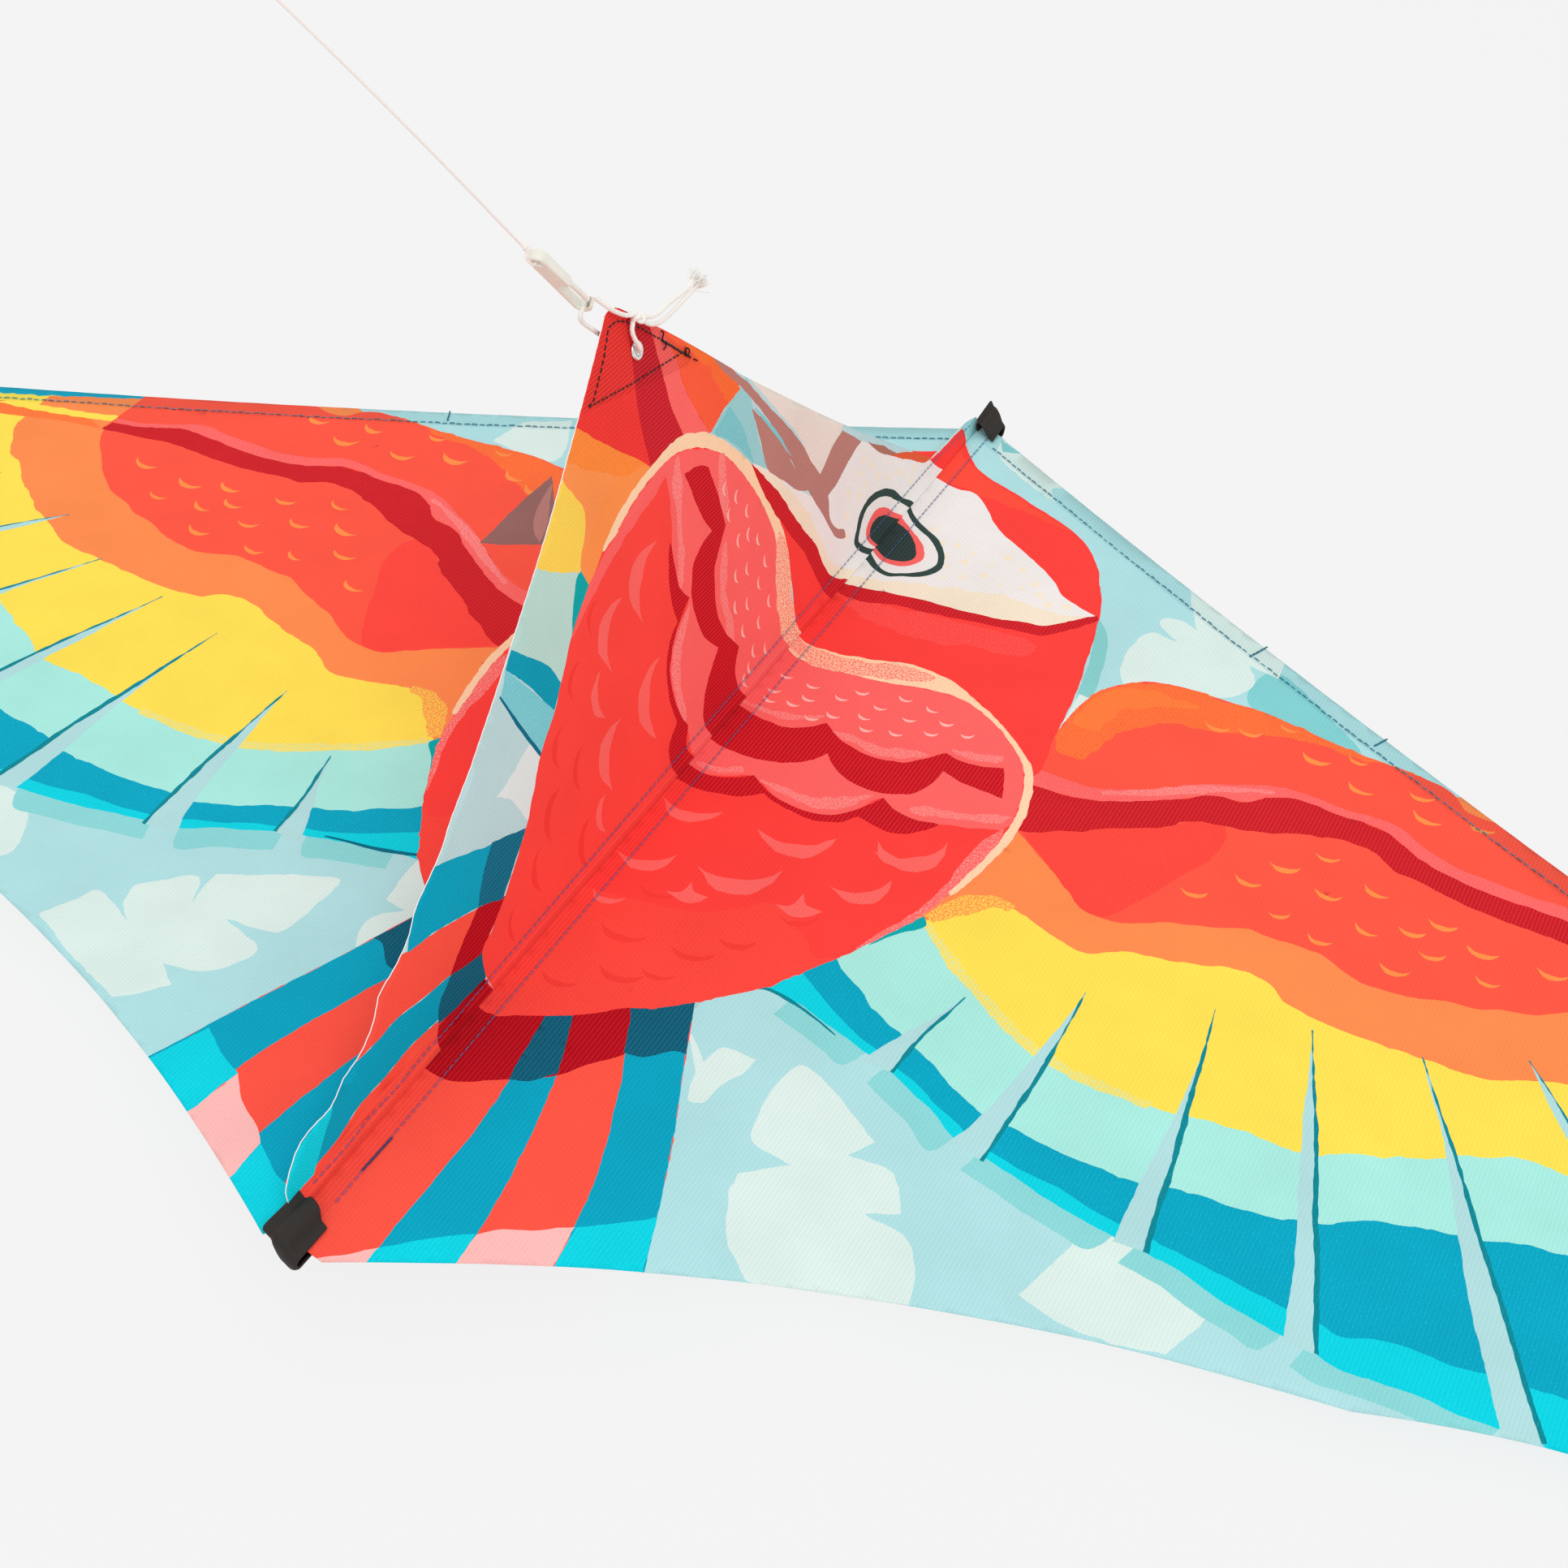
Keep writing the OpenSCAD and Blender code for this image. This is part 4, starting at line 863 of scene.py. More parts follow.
    art.paint(BROWN, [(25, 464, 1), (29, 464), (33, 458), (40, 454.5), (50, 457), (60, 455), (72, 448),
                      (86, 441), (100, 431), (115, 419), (128, 409.5), (140, 399), (154, 385, 1),
                      (144, 391), (131, 402), (118, 411.5), (104, 420), (90, 427), (74, 434), (60, 441),
                      (46, 448.5), (31, 455), (27, 459)], chalk=(176, 118, 110), amount=0.4)
    art.stroke((128, 208, 214), [(84, 431), (95, 425), (107, 417), (118, 409)], (0.2, 1.1, 0.4))
    # neck, belly and folded wing
    art.paint(RED, [(5, 446, 1), (20, 437), (40, 428), (60, 416), (80, 404), (97, 397, 1), (80, 405),
                    (62, 411), (40, 412), (5, 404, 1)], chalk=LOW_RED, amount=0.3)
    art.paint((255, 73, 65), [(5, 409, 1)] + K_RIM_OUT[1:] + K_BELLY, chalk=(255, 84, 70), amount=0.3)
    for u, v, width, turn in ((20, 220, 20, 22), (44, 205, 22, 34), (66, 220, 18, 34), (30, 188, 18, 20),
                              (20, 165, 14, 14), (84, 240, 16, 40), (50, 228, 18, 24), (100, 262, 14, 40)):
        art.smile(FAINT_RED, u, v, width, turn, depth=0.22)
    art.paint(PINK, [(122, 294, 1), (117, 275), (110, 260), (100, 246), (106, 262), (112, 278), (118, 300),
                     (122, 320), (128, 340, 1), (128, 320)], rough=0.8, chalk=(255, 92, 90), amount=0.4)
    art.paint(RIM, both(K_RIM_OUT, K_RIM_IN), rough=0.8, chalk=PINK, amount=0.26)
    art.paint(PINK, K_RIM_IN + [(124, 315), (128, 333, 1), (112, 330), (99, 325.5), (88, 323), (76, 322),
                                (70, 328), (63, 316), (56, 306), (46, 302), (34, 302), (21, 306),
                                (5, 303, 1)], rough=0.8, chalk=(255, 118, 114), amount=0.34)
    art.paint(RIM, [(5, 407, 1), (20, 407), (35, 411), (48, 413), (58, 410), (50, 403), (36, 397),
                    (20, 393), (5, 394, 1)], rough=1.8, chalk=PINK, amount=0.5)
    for pts in ([(30, 353), (42, 350), (56, 351), (70, 356), (80, 366), (70, 362), (56, 356), (42, 356)],
                [(86, 369), (96, 367), (106, 370), (113, 374), (112, 379), (102, 376), (92, 374)],
                [(78, 324), (92, 328), (108, 333), (122, 336), (128, 344), (114, 340), (98, 334),
                 (84, 330)], [(22, 305), (32, 303), (46, 304), (58, 312), (68, 328), (64, 326), (54, 316),
                              (40, 309), (28, 308)]):
        art.paint(LIGHT_PINK, pts, rough=1.4, chalk=PINK, amount=0.5)
    art.paint(CRIMSON, [(5, 352, 1), (14, 350), (22, 350), (30, 357, 1), (40, 350), (50, 346), (60, 347),
                        (72, 352), (84, 367, 1), (92, 367), (102, 366), (113, 364, 1), (118, 355),
                        (119.5, 345, 1), (106, 348), (96, 351), (87, 356, 1), (86, 346), (82, 337),
                        (72, 331), (60, 330), (48, 333), (39, 341, 1), (34, 333), (26, 324), (18, 319),
                        (5, 320, 1)], rough=0.6, dots=0.75, chalk=CRIMSON_DRY, amount=0.4)
    art.paint(CRIMSON, [(5, 304, 1), (13, 302), (21, 307, 1), (30, 303), (40, 302), (50, 304), (62, 314),
                        (70.5, 328.5, 1), (78, 324), (88, 323.5), (99, 324, 1), (90, 319), (80, 316),
                        (70, 316.5), (66, 317, 1), (60, 307), (50, 301), (38, 298.5), (27, 300, 1),
                        (22, 291), (16, 288), (5, 289, 1)], rough=0.6, dots=0.75, chalk=CRIMSON_DRY,
              amount=0.4)
    for u, v, turn in ((52, 393, 0), (64, 391, 4), (34, 389, 12), (80, 387, 18), (70, 384, 20),
                       (46, 384, 8), (90, 381, 24), (57, 377, 10), (30, 377, 8), (16, 378, -6),
                       (72, 375, 24), (86, 372, 20), (21, 368, 8), (43, 371, 4), (59, 367, 8),
                       (16, 362, -8), (34, 363, 0), (47, 361, 6), (98, 373, 26), (13, 356, 8)):
        art.smile(BLUSH, u, v, 6.6, turn)
    for u, v, width, turn in ((46, 288, 34, 26), (86, 272, 30, 34), (94, 302, 34, 38), (42, 252, 30, 34),
                              (68, 254, 20, 10), (24, 236, 16, 20)):
        art.smile(BELLY_PINK, u, v, width, turn, chalk=PINK_DRY, amount=0.35)
    art.paint(DARK_RED, [(5, 462, 1), (10, 451), (16, 444.5), (24, 440), (36, 437.5), (50, 428.5),
                         (65, 420.5), (80, 411), (98, 397.5, 1), (80, 403), (65, 410), (50, 419),
                         (38, 426.5), (26, 430.5), (18, 433), (5, 438, 1)], rough=0.7, chalk=CRIMSON,
              amount=0.4, dots=0.55)
    # the near part of the eye
    art.paint(GREEN, [(4, 533, 1), (9, 530), (15, 523), (22, 517), (28, 506), (31, 493), (29, 482),
                      (23, 474.5), (18, 470.5), (12, 474), (4, 484, 1)], step=1.6, rough=0.35, dots=0.3)
    art.paint(FACE, [(4, 528, 1), (10, 524), (16, 517.5), (22, 510), (26, 501), (27.5, 492), (26, 484.5),
                     (21, 478), (17, 475), (12, 479), (4, 489, 1)], step=1.6, rough=0.35)
    art.paint(PINK, [(4, 522, 1), (11, 514), (18, 506), (22, 497), (21, 488.5), (17.5, 483), (13, 483),
                     (4, 488, 1)], step=1.6, rough=0.35)
    art.paint(PUPIL, [(4, 518, 1), (10, 511), (15, 504), (18, 496), (17.5, 489), (14, 486), (10, 487),
                      (4, 491, 1)], step=1.6, rough=0.3, dots=0.45)
    # painted shade where the cloth lies twice at the seam, and where the black patch lies behind the tow point:
    # the doubled cloth lets less light through
    art.tint((252, 236, 240), [(5, 20), (13, 20), (13.5, 430), (5, 430)], dots=0.4)
    art.tint((240, 222, 222), [(175, 287), (202, 318), (202, 330), (160, 372), (158, 366)], dots=1.0)
    return art


# ---------------------------------------------------------------- cloth from a print
def inside(points, polygon):
    """Which of the points lie in the polygon."""
    poly = np.asarray(polygon, float)
    hit = np.zeros(len(points), bool)
    near = np.where(((points >= poly.min(0)) & (points <= poly.max(0))).all(1))[0]
    if not len(near):
        return hit
    x, y = points[near, 0][:, None], points[near, 1][:, None]
    a, b = poly, np.roll(poly, -1, 0)
    rise = np.where(a[:, 1] == b[:, 1], 1e-12, b[:, 1] - a[:, 1])
    crosses = ((a[:, 1] > y) != (b[:, 1] > y)) & (x < (b[:, 0] - a[:, 0]) * (y - a[:, 1]) / rise + a[:, 0])
    hit[near] = crosses.sum(1) % 2 == 1
    return hit


def inks_at(points, art):
    """Ink, second ink with its amount, and pin dots at each point."""
    ink = np.zeros((len(points), 3))
    chalk = np.zeros((len(points), 4))
    dots = np.full(len(points), 0.1)
    for line, first, second, amount, strength, kind in art.shapes:
        hit = inside(points, line)
        # painted shade of doubled cloth: the inks below are darkened by its factor
        if kind == "tint":
            painted_shade_factor = np.array(first) / 255
            ink[hit] *= painted_shade_factor ** 2.2
            chalk[hit, :3] *= painted_shade_factor ** 2.2
            dots[hit] = np.maximum(dots[hit], strength)
            continue
        ink[hit] = colour(*first)[:3]
        chalk[hit] = (*colour(*second)[:3], amount)
        dots[hit] = strength
    return ink, chalk, dots


def put_ink(mesh, centres, art, uvs):
    """Writes the print's inks and the cloth's own coordinates on a mesh."""
    ink, chalk, dots = inks_at(centres, art)
    corners = np.repeat(np.arange(len(mesh.polygons)), [p.loop_total for p in mesh.polygons])
    for name, values in (("ink", np.c_[ink, np.ones(len(ink))]), ("chalk", chalk)):
        layer = mesh.color_attributes.new(name, "FLOAT_COLOR", "CORNER")
        layer.data.foreach_set("color", values[corners].astype(np.float32).ravel())
    layer = mesh.attributes.new("layers", "FLOAT", "CORNER")
    layer.data.foreach_set("value", dots[corners].astype(np.float32))
    flat = mesh.uv_layers.new(name="flat")
    flat.data.foreach_set("uv", np.asarray(uvs, np.float32).ravel())


def link(obj, material, smooth_faces=True):
    """Puts an object with its material in the scene."""
    bpy.context.collection.objects.link(obj)
    obj.data.materials.append(material)
    if smooth_faces:
        obj.data.shade_smooth()
    return obj


def printed_sheet(name, outline, art, place, material, holes=(), grid=6.0, facing=1):
    """A cloth sheet cut along outline and triangulated along its print's edges.

    place gives a point in the row frame; facing is -1 where place turns the sheet over."""
    pts, edges = [], []
    loops = [outline, *holes] + [shape[0] for shape in art.shapes]
    low, high = np.min(outline, 0) - 3, np.max(outline, 0) + 3
    for loop in loops:
        n0 = len(pts)
        box = np.clip(np.asarray(loop, float), low, high)
        pts += [tuple(p) for p in box]
        edges += [(n0 + i, n0 + (i + 1) % len(box)) for i in range(len(box))]
    rows = int((high[1] - low[1]) / grid)
    for j in range(rows):
        for i in range(int((high[0] - low[0]) / grid)):
            pts.append((low[0] + (i + 0.5 * (j % 2)) * grid, low[1] + j * grid * 0.9))
    found = delaunay_2d_cdt([Vector(p) for p in pts], edges, [], 0, 0.004)
    verts, faces = found[0], found[2]
    flat = np.array([tuple(v) for v in verts])
    tris = np.array([f for f in faces if len(f) == 3])
    centres = flat[tris].mean(1)
    a, b, c = flat[tris[:, 0]], flat[tris[:, 1]], flat[tris[:, 2]]
    area = 0.5 * ((b[:, 0] - a[:, 0]) * (c[:, 1] - a[:, 1]) - (c[:, 0] - a[:, 0]) * (b[:, 1] - a[:, 1]))
    longest = np.max([np.hypot(*(p - q).T) for p, q in ((a, b), (b, c), (c, a))], 0)
    keep = inside(centres, outline) & (np.abs(area) > 0.002 * longest)
    for hole in holes:
        keep &= ~inside(centres, hole)
    tris, centres, area = tris[keep], centres[keep], area[keep]
    turned = area * facing < 0
    tris[turned] = tris[turned][:, ::-1]
    used = np.unique(tris)
    new = np.full(len(flat), -1)
    new[used] = np.arange(len(used))
    tris, flat = new[tris], flat[used]
    mesh = bpy.data.meshes.new(name)
    mesh.from_pydata([place(u, v) for u, v in flat], [], tris.tolist())
    mesh.update()
    order = np.empty(len(mesh.loops), np.int32)
    mesh.loops.foreach_get("vertex_index", order)
    put_ink(mesh, centres, art, flat[order])
    return link(bpy.data.objects.new(name, mesh), material)


def ribbon(name, rows, material, closed=False, art=None, flat=None):
    """A strip of quads through rows of points; flat gives each point's place on the print."""
    verts = [p for row in rows for p in row]
    n = len(rows[0])
    faces = []
    for j in range(len(rows) - 1):
        for i in range(n if closed else n - 1):
            k = (i + 1) % n
            faces.append((j * n + i, j * n + k, (j + 1) * n + k, (j + 1) * n + i))
    mesh = bpy.data.meshes.new(name)
    mesh.from_pydata(verts, [], faces)
    mesh.update()
    if art:
        where = np.array([q for row in flat for q in row], float)
        centres = where[np.array(faces)].mean(1)
        order = np.empty(len(mesh.loops), np.int32)
        mesh.loops.foreach_get("vertex_index", order)
        put_ink(mesh, centres, art, where[order])
    return link(bpy.data.objects.new(name, mesh), material)


def thicken(obj, mm):
    """Gives a sheet its thickness, half on each side."""
    solid = obj.modifiers.new("thickness", "SOLIDIFY")
    solid.thickness = mm * MM
    solid.offset = 0
    solid.use_even_offset = False


# ---------------------------------------------------------------- cords: the tow loop, its ends, the line
def way(points, step=0.4):
    """A smooth path through points in space, with even steps in millimetres."""
    p = [Vector(q) for q in points]
    fine = []
    for i in range(len(p) - 1):
        a, b = p[i], p[i + 1]
        da = (b - p[i - 1]) / 2 if i else b - a
        db = (p[i + 2] - a) / 2 if i + 2 < len(p) else b - a
        for s in range(12):
            x = s / 12
            fine.append(a * (2 * x ** 3 - 3 * x ** 2 + 1) + da * (x ** 3 - 2 * x ** 2 + x)
                        + b * (3 * x ** 2 - 2 * x ** 3) + db * (x ** 3 - x ** 2))
    fine.append(p[-1])
    gaps = np.cumsum([0] + [(fine[i + 1] - fine[i]).length for i in range(len(fine) - 1)])
    n = max(3, int(gaps[-1] / step))
    xyz = np.array([tuple(q) for q in fine])
    where = np.linspace(0, gaps[-1], n + 1)
    return [Vector(q) for q in np.c_[[np.interp(where, gaps, xyz[:, k]) for k in range(3)]].T]


def tube_mesh(paths, radius, sides=12, relief=None):
    """Vertices and faces of round tubes along paths in millimetres; relief(s, turn) scales the radius."""
    verts, faces = [], []
    for path in paths:
        first = len(verts)
        up = Vector((0, 0, 1))
        s = 0.0
        n = len(path)
        for i, p in enumerate(path):
            d = (path[min(i + 1, n - 1)] - path[max(i - 1, 0)]).normalized()
            up = (up - d * up.dot(d))
            up = up.normalized() if up.length > 1e-4 else d.orthogonal().normalized()
            side = d.cross(up)
            if i:
                s += (p - path[i - 1]).length
            for k in range(sides):
                turn = 2 * math.pi * k / sides
                r = radius * (relief(s, turn) if relief else 1.0)
                verts.append(p + (up * math.cos(turn) + side * math.sin(turn)) * r)
        for i in range(n - 1):
            for k in range(sides):
                j = (k + 1) % sides
                a = first + i * sides
                faces.append((a + k, a + j, a + sides + j, a + sides + k))
        faces.append(tuple(first + k for k in range(sides))[::-1])
        faces.append(tuple(first + (n - 1) * sides + k for k in range(sides)))
    return verts, faces


def tubes(name, paths, radius, material, sides=12, relief=None):
    """One piece made of tubes along paths, in millimetres in the row frame."""
    verts, faces = tube_mesh(paths, radius, sides, relief)
    mesh = bpy.data.meshes.new(name)
    mesh.from_pydata([v * MM for v in verts], [], faces)
    mesh.update()
    return link(bpy.data.objects.new(name, mesh), material)


def braided(s, turn):
    """Relief of a round braid: two sets of strands that cross."""
    a = math.sin(4 * turn + s * 2.6)
    b = math.sin(4 * turn - s * 2.6)
    return 0.92 + 0.11 * max(a, b)


def twisted(s, turn):
    """Relief of a three-strand twist."""
    return 0.92 + 0.09 * abs(math.cos(1.5 * turn + s * 1.9))


def in_row(place, points):
    """Points through place, as millimetres in the row frame."""
    return [place(*p) / MM for p in points]


LOOP_PATH = [(3.8, 334, 187.6), (3.2, 327, 190), (2.8, 320, 195), (2.4, 314.5, 200.5), (1.4, 310.7, 205),
             (0.7, 308.5, 205), (0, 306.6, 203.7), (-0.7, 304.7, 202.1), (-1.7, 304, 199.8),
             (-2.6, 305.8, 196.7), (-3, 312, 190.5), (-3.1, 322, 181), (-3.1, 329.4, 175.3),
             (-2.4, 332, 173.1), (-1, 332.9, 172.3), (1, 332.9, 172.3), (2.4, 332, 173.2),
             (3.1, 330.2, 176.4), (3.2, 328.7, 180), (3.3, 328.4, 183), (3.6, 329.8, 186),]
END_PATHS = [[(4, 335, 187), (4.2, 341, 183), (4, 349, 181.6), (3.6, 359, 181.5), (3.4, 371, 181),
              (3.2, 378, 182)], [(4, 335, 184.6), (4.4, 340, 180.4), (4.2, 347, 178), (4, 357, 177.6),
                                 (4, 369, 178.6), (3.6, 380, 179)],]
KNOT = (3.9, 333, 186.4)
LINE_LENGTH = 195
CORD_R, LINE_R = 0.96, 0.5
LINE_PATH = [(34.8, 0.3, 3.3), (34.5, 0, 0), (34.8, -0.3, -3.3), (37.5, -0.5, -3.6), (40.6, -0.7, -3)]
LINE_PATH += [(42 + LINE_LENGTH * i / 10, 0.09 * i - 0.9, 0.6 * i * (1 - i / 10) + 0.06 * i
               - 0.6) for i in range(11)]

cord_white = woven("cord_white", colour(250, 246, 240), pitch=0.7, rough=0.85, depth=0.2, dark=0.9)
line_white = woven("line_white", colour(250, 240, 235), pitch=0.5, rough=0.8, depth=0.1, dark=0.93)

loop_line = way(in_row(keel_point, LOOP_PATH))
tow_loop = tubes("tow_loop_cord", [loop_line], CORD_R, cord_white, 24, braided)
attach(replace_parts(tow_loop, "tow_loop"), "loop")
for label, points in zip(("upper", "lower"), END_PATHS):
    line = way(in_row(keel_point, points))
    end = tubes(f"tow_loop_end_{label}", [line], CORD_R, cord_white, 24, braided)
    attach(end, "loop")


def overhand(middle, size, wide, parts):
    """The turns of an overhand knot, drawn tight round a point; wide stretches it along x."""
    turns = []
    for i in range(parts + 1):
        t = 2 * math.pi * i / parts
        x, y = wide * (math.sin(t) + 2 * math.sin(2 * t)), math.cos(t) - 2 * math.cos(2 * t)
        turns.append(middle + size * Vector((x, y, -1.5 * math.sin(3 * t))))
    return turns


knot = tubes("tow_loop_knot", [overhand(keel_point(*KNOT) / MM, 0.74, 1.25, 96)], 1.0, cord_white, 16,
             lambda s, turn: 0.95 + 0.07 * math.sin(4 * turn + 2 * s))
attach(knot, "loop")

# frayed ends
dice = random.Random(5)
hairs = []
for points in END_PATHS:
    line = in_row(keel_point, points)
    tip, d = line[-1], (line[-1] - line[-2]).normalized()
    for _ in range(95):
        spread = Vector([dice.gauss(0, 1) for _ in range(3)]) * 0.7
        start = tip - d * dice.uniform(0.4, 2.4) + spread * 0.35
        reach = dice.uniform(3.5, 8)
        bend = (d + spread * 0.26).normalized()
        curl = Vector([dice.gauss(0, 1) for _ in range(3)]) * 0.7
        hairs.append([start + bend * reach * x + curl * x * x for x in (0, 0.25, 0.5, 0.75, 1)])
fray = tubes("tow_loop_fray", hairs, 0.15, cord_white, 5)
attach(fray, "loop")

flying = way(in_row(clip_point, LINE_PATH), 0.5)
flying_line = tubes("flying_line_cord", [flying], LINE_R, line_white, 12, twisted)
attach(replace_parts(flying_line, "flying_line"), "clip")
for label, x, y, size in (("clip", 42, -0.4, 0.42), ("end", 42 + LINE_LENGTH, 0, 0.36)):
    turns = overhand(clip_point(x, y, 0) / MM, size, 1, 72)
    piece = tubes(f"flying_line_{label}_knot", [turns], LINE_R, line_white, 10)
    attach(piece, "clip")


# ---------------------------------------------------------------- cloth
cloth = printed_cloth()


def wing_lift(u, v):
    """Slackness of a sail: broad waves, puckers at the hem stitches and the crease it was packed along."""
    d = from_edge(u, v)
    free = ease(u, 14, 60) * ease(d, 12, 60)
    wave = noise.noise(Vector((u * 0.011, v * 0.011, 2.0))) * 1.5
    wave += noise.noise(Vector((u * 0.03, v * 0.03, 7.0))) * 0.35
    pucker = math.sin((u - 0.3 * v) * 0.62) * math.exp(-((d - 11) / 9) ** 2) * ease(u, 14, 40)
    crease = math.exp(-((u - 257) / 2.2) ** 2)
    return wave * free + 0.22 * pucker - 0.45 * crease * ease(d, 4, 12)


def wing_outline(inner):
    """Outline of one sail: the strip along the spine, the scallops and the leading edge."""
    line = [(inner, 7)]
    line += bulge((FOLD_U, 3), (338, 135), 17, 40)
    line += bulge((338, 135), (470, 168), 5, 16)
    line += bulge((470, 168), (545, 234), 6, 12)
    line += bulge((545, 234), (HALF_SPAN, TIP_V), 8, 14)
    line += hem_edge(HALF_SPAN, FOLD_U, 90)
    return line + ([(6, 611.5), (inner, 618)] if inner < 0 else [(inner, 610)])


arts = {1: right_print(), -1: left_print()}
for side, label, inner in ((1, "right", -7.8), (-1, "left", 8.2)):
    outline = wing_outline(inner)
    sail = printed_sheet(f"sail_{label}_cloth", outline, arts[side],
                         lambda u, v, s=side: wing_point(u, v, s, wing_lift(u, v)), cloth, facing=side)
    thicken(sail, CLOTH)
    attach(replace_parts(sail, f"sail_{label}"), "frame")

# hems: the cloth's edge turned back round the rod, open where the connector grips it
TURN = math.degrees(math.atan2(CHORD.y, CHORD.x)) + 270
HALF = math.degrees(math.asin(CHORD.length / 2 / ARC_R))
HEM_SPANS = ((TURN - HALF + 0.17, TURN - HALF + 2.5), (TURN - HALF + 3.42, TURN + HALF - 0.03))
HEM_PROFILE = [(0.1, -0.05), (-0.25, -0.7), (-0.2, -1.8), (0.15, -3.2), (0.9, -4.4), (2.1, -5.0),
               (3.3, -4.9), (4.3, -4.3), (5.8, -3.1), (7.6, -1.8), (9.2, -0.9), (10.4, -0.5), (12.0, -0.62)]


def on_arc(angle, d):
    """Place on the flat sail at a distance d inside the leading edge."""
    a = math.radians(angle)
    return ARC_C.x + (ARC_R + d) * math.cos(a), ARC_C.y + (ARC_R + d) * math.sin(a)


for side, label in ((1, "right"), (-1, "left")):
    for part, (a0, a1) in zip(("inner", "outer"), HEM_SPANS):
        count = max(4, round((a1 - a0) * 12))
        rows, flat = [], []
        for i in range(count + 1):
            angle = a0 + (a1 - a0) * i / count
            wobble = 0.18 * math.sin(i * 1.9) + 0.12 * math.sin(i * 0.7)
            rows.append([wing_point(*on_arc(angle, d), side, z + (wobble * 0.5 if 4 < d < 9 else 0))
                         for d, z in HEM_PROFILE])
            flat.append([on_arc(angle, max(d, 0.5)) for d, _ in HEM_PROFILE])
        hem = ribbon(f"hem_{label}_{part}", rows, cloth, art=arts[side], flat=flat)
        thicken(hem, CLOTH)
        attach(hem, "frame")

# the keel, its doubling patch and its raw edge
keel_art = keel_print()
KEEL_REAR = bulge((60, 23), (316.5, 193.5), -10, 30) + [(316.5, 193.5)]
KEEL_LINE = [(20, -0.3), (15, 5), (16, 10), (21, 15), (28, 18.8), (38, 20.6), (48, 20.8)] + KEEL_REAR
KEEL_LINE += [(319, 194.4), (322, 194.8), (325.5, 193.8)]
KEEL_LINE += bulge((328, 192.4), (404, 128), 1.2, 10) + bulge((404, 128), (560, 9), -2, 16)
KEEL_LINE += [(560, 9), (590, 8), (604, 7), (614, 4.6), (614, -0.3)]


def keel_wave(v, w):
    """Sideways place of the keel's cloth: rounded at its foot, waved at its raw edge near the tail."""
    rear = min(math.hypot(v - a, w - b) for a, b in KEEL_REAR[::3])
    flutter = math.sin(v * 0.17 + w * 0.05) * (1.5 - ease(v, 20, 60) * 0.5)
    flutter *= (1 - ease(v, 90, 190)) * math.exp(-rear / 16)
    slack = noise.noise(Vector((v * 0.013, w * 0.013, 4.0))) * ease(w, 4, 40) * (1 - ease(w, 120, 170))
    foot = max(0, 1 - w / 6) ** 2
    return 1.6 * flutter + 1.6 * slack + 1.8 * foot


def keel_place(u, v):
    return keel_point(keel_wave(v, u - SEAM), v, u - SEAM)


def ring_round(v, w, r, n=28):
    return [(w + SEAM + r * math.cos(2 * math.pi * i / n), v
             + r * math.sin(2 * math.pi * i / n)) for i in range(n)]


keel_outline = [(w + SEAM, v) for v, w in KEEL_LINE]
keel = printed_sheet("keel_cloth", keel_outline, keel_art, keel_place, cloth,
                     holes=[ring_round(*EYELET, 2.5)], grid=5.0)
thicken(keel, KEEL_CLOTH)
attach(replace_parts(keel, "keel"), "keel")

black_cloth = woven("black_cloth", colour(34, 26, 28), pitch=0.8, rough=0.8, depth=0.3)
PATCH = [(287, 167), (316.5, 191.4), (321, 192.6), (330, 184), (370, 153), (359, 152)]
patch = printed_sheet("keel_patch_cloth", [(w + SEAM, v) for v, w in PATCH], Print(),
                      lambda u, v: keel_point(-0.5 - 0.15 * math.sin(v * 0.4), v, u - SEAM), black_cloth,
                      holes=[ring_round(*EYELET, 2.5)], grid=4.0, facing=-1)
thicken(patch, KEEL_CLOTH)
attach(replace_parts(patch, "keel_patch"), "keel")

# raw edge: the cut yarns stand out in white along the keel's rear edge
edge_white = woven("edge_white", colour(252, 246, 244), pitch=0.6, rough=0.9, depth=0.2, dark=0.9)
rear_line = []
RAW = smooth([(v, w) for v, w in KEEL_LINE[1:8]] + KEEL_REAR[2:], 1.1, closed=False)
for v, w in RAW:
    loose = 1 - ease(v, 50, 150)
    off = 0.2 + loose * (0.5 + 0.5 * math.sin(v * 0.23)) + 0.1 * math.sin(v * 1.3)
    rear_line.append(keel_point(keel_wave(v, w) + 0.15, v - off * 0.5, w + off * 0.7) / MM)
raw = tubes("keel_raw_edge", [rear_line], 0.2, edge_white, 7)
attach(raw, "keel")

# the tape on the back that holds the spine rod
tape = woven("sleeve_tape", colour(176, 216, 220), pitch=0.9, rough=0.8, depth=0.35)
ROUND = [(2.25 * math.cos(math.radians(a)), -3
          + 2.25 * math.sin(math.radians(a))) for a in range(200, 341, 20)]
SLEEVE = [(-10, -0.62), (-7.5, -0.72), (-4, -0.8), (-2.9, -1.1), (-2.3, -2.2)] + ROUND
SLEEVE += [(2.3, -2.2), (2.9, -1.1), (4, -0.8), (7.5, -0.72), (10, -0.62)]
for label, v0, v1, profile in (("lower", 26.5, 491, SLEEVE), ("upper", 519, 606.5, SLEEVE),
                               ("window_left", 491, 519, SLEEVE[:2] + [(-6, -0.76)]),
                               ("window_right", 491, 519, [(6, -0.76)] + SLEEVE[-2:])):
    count = max(5, round((v1 - v0) / 5))
    rows = []
    for i in range(count + 1):
        v = v0 + (v1 - v0) * i / count
        soft = 0.10 * math.sin(v * 0.37) + 0.08 * math.sin(v * 0.13)
        rows.append([(Vector((x, v, z + (soft if abs(x) > 3 else 0))) + SHIFT) * MM for x, z in profile])
    piece = ribbon(f"spine_tape_{label}", rows, tape)
    thicken(piece, 0.3)
    if label == "lower":
        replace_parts(piece, "spine_sleeve")
    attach(piece, "frame")


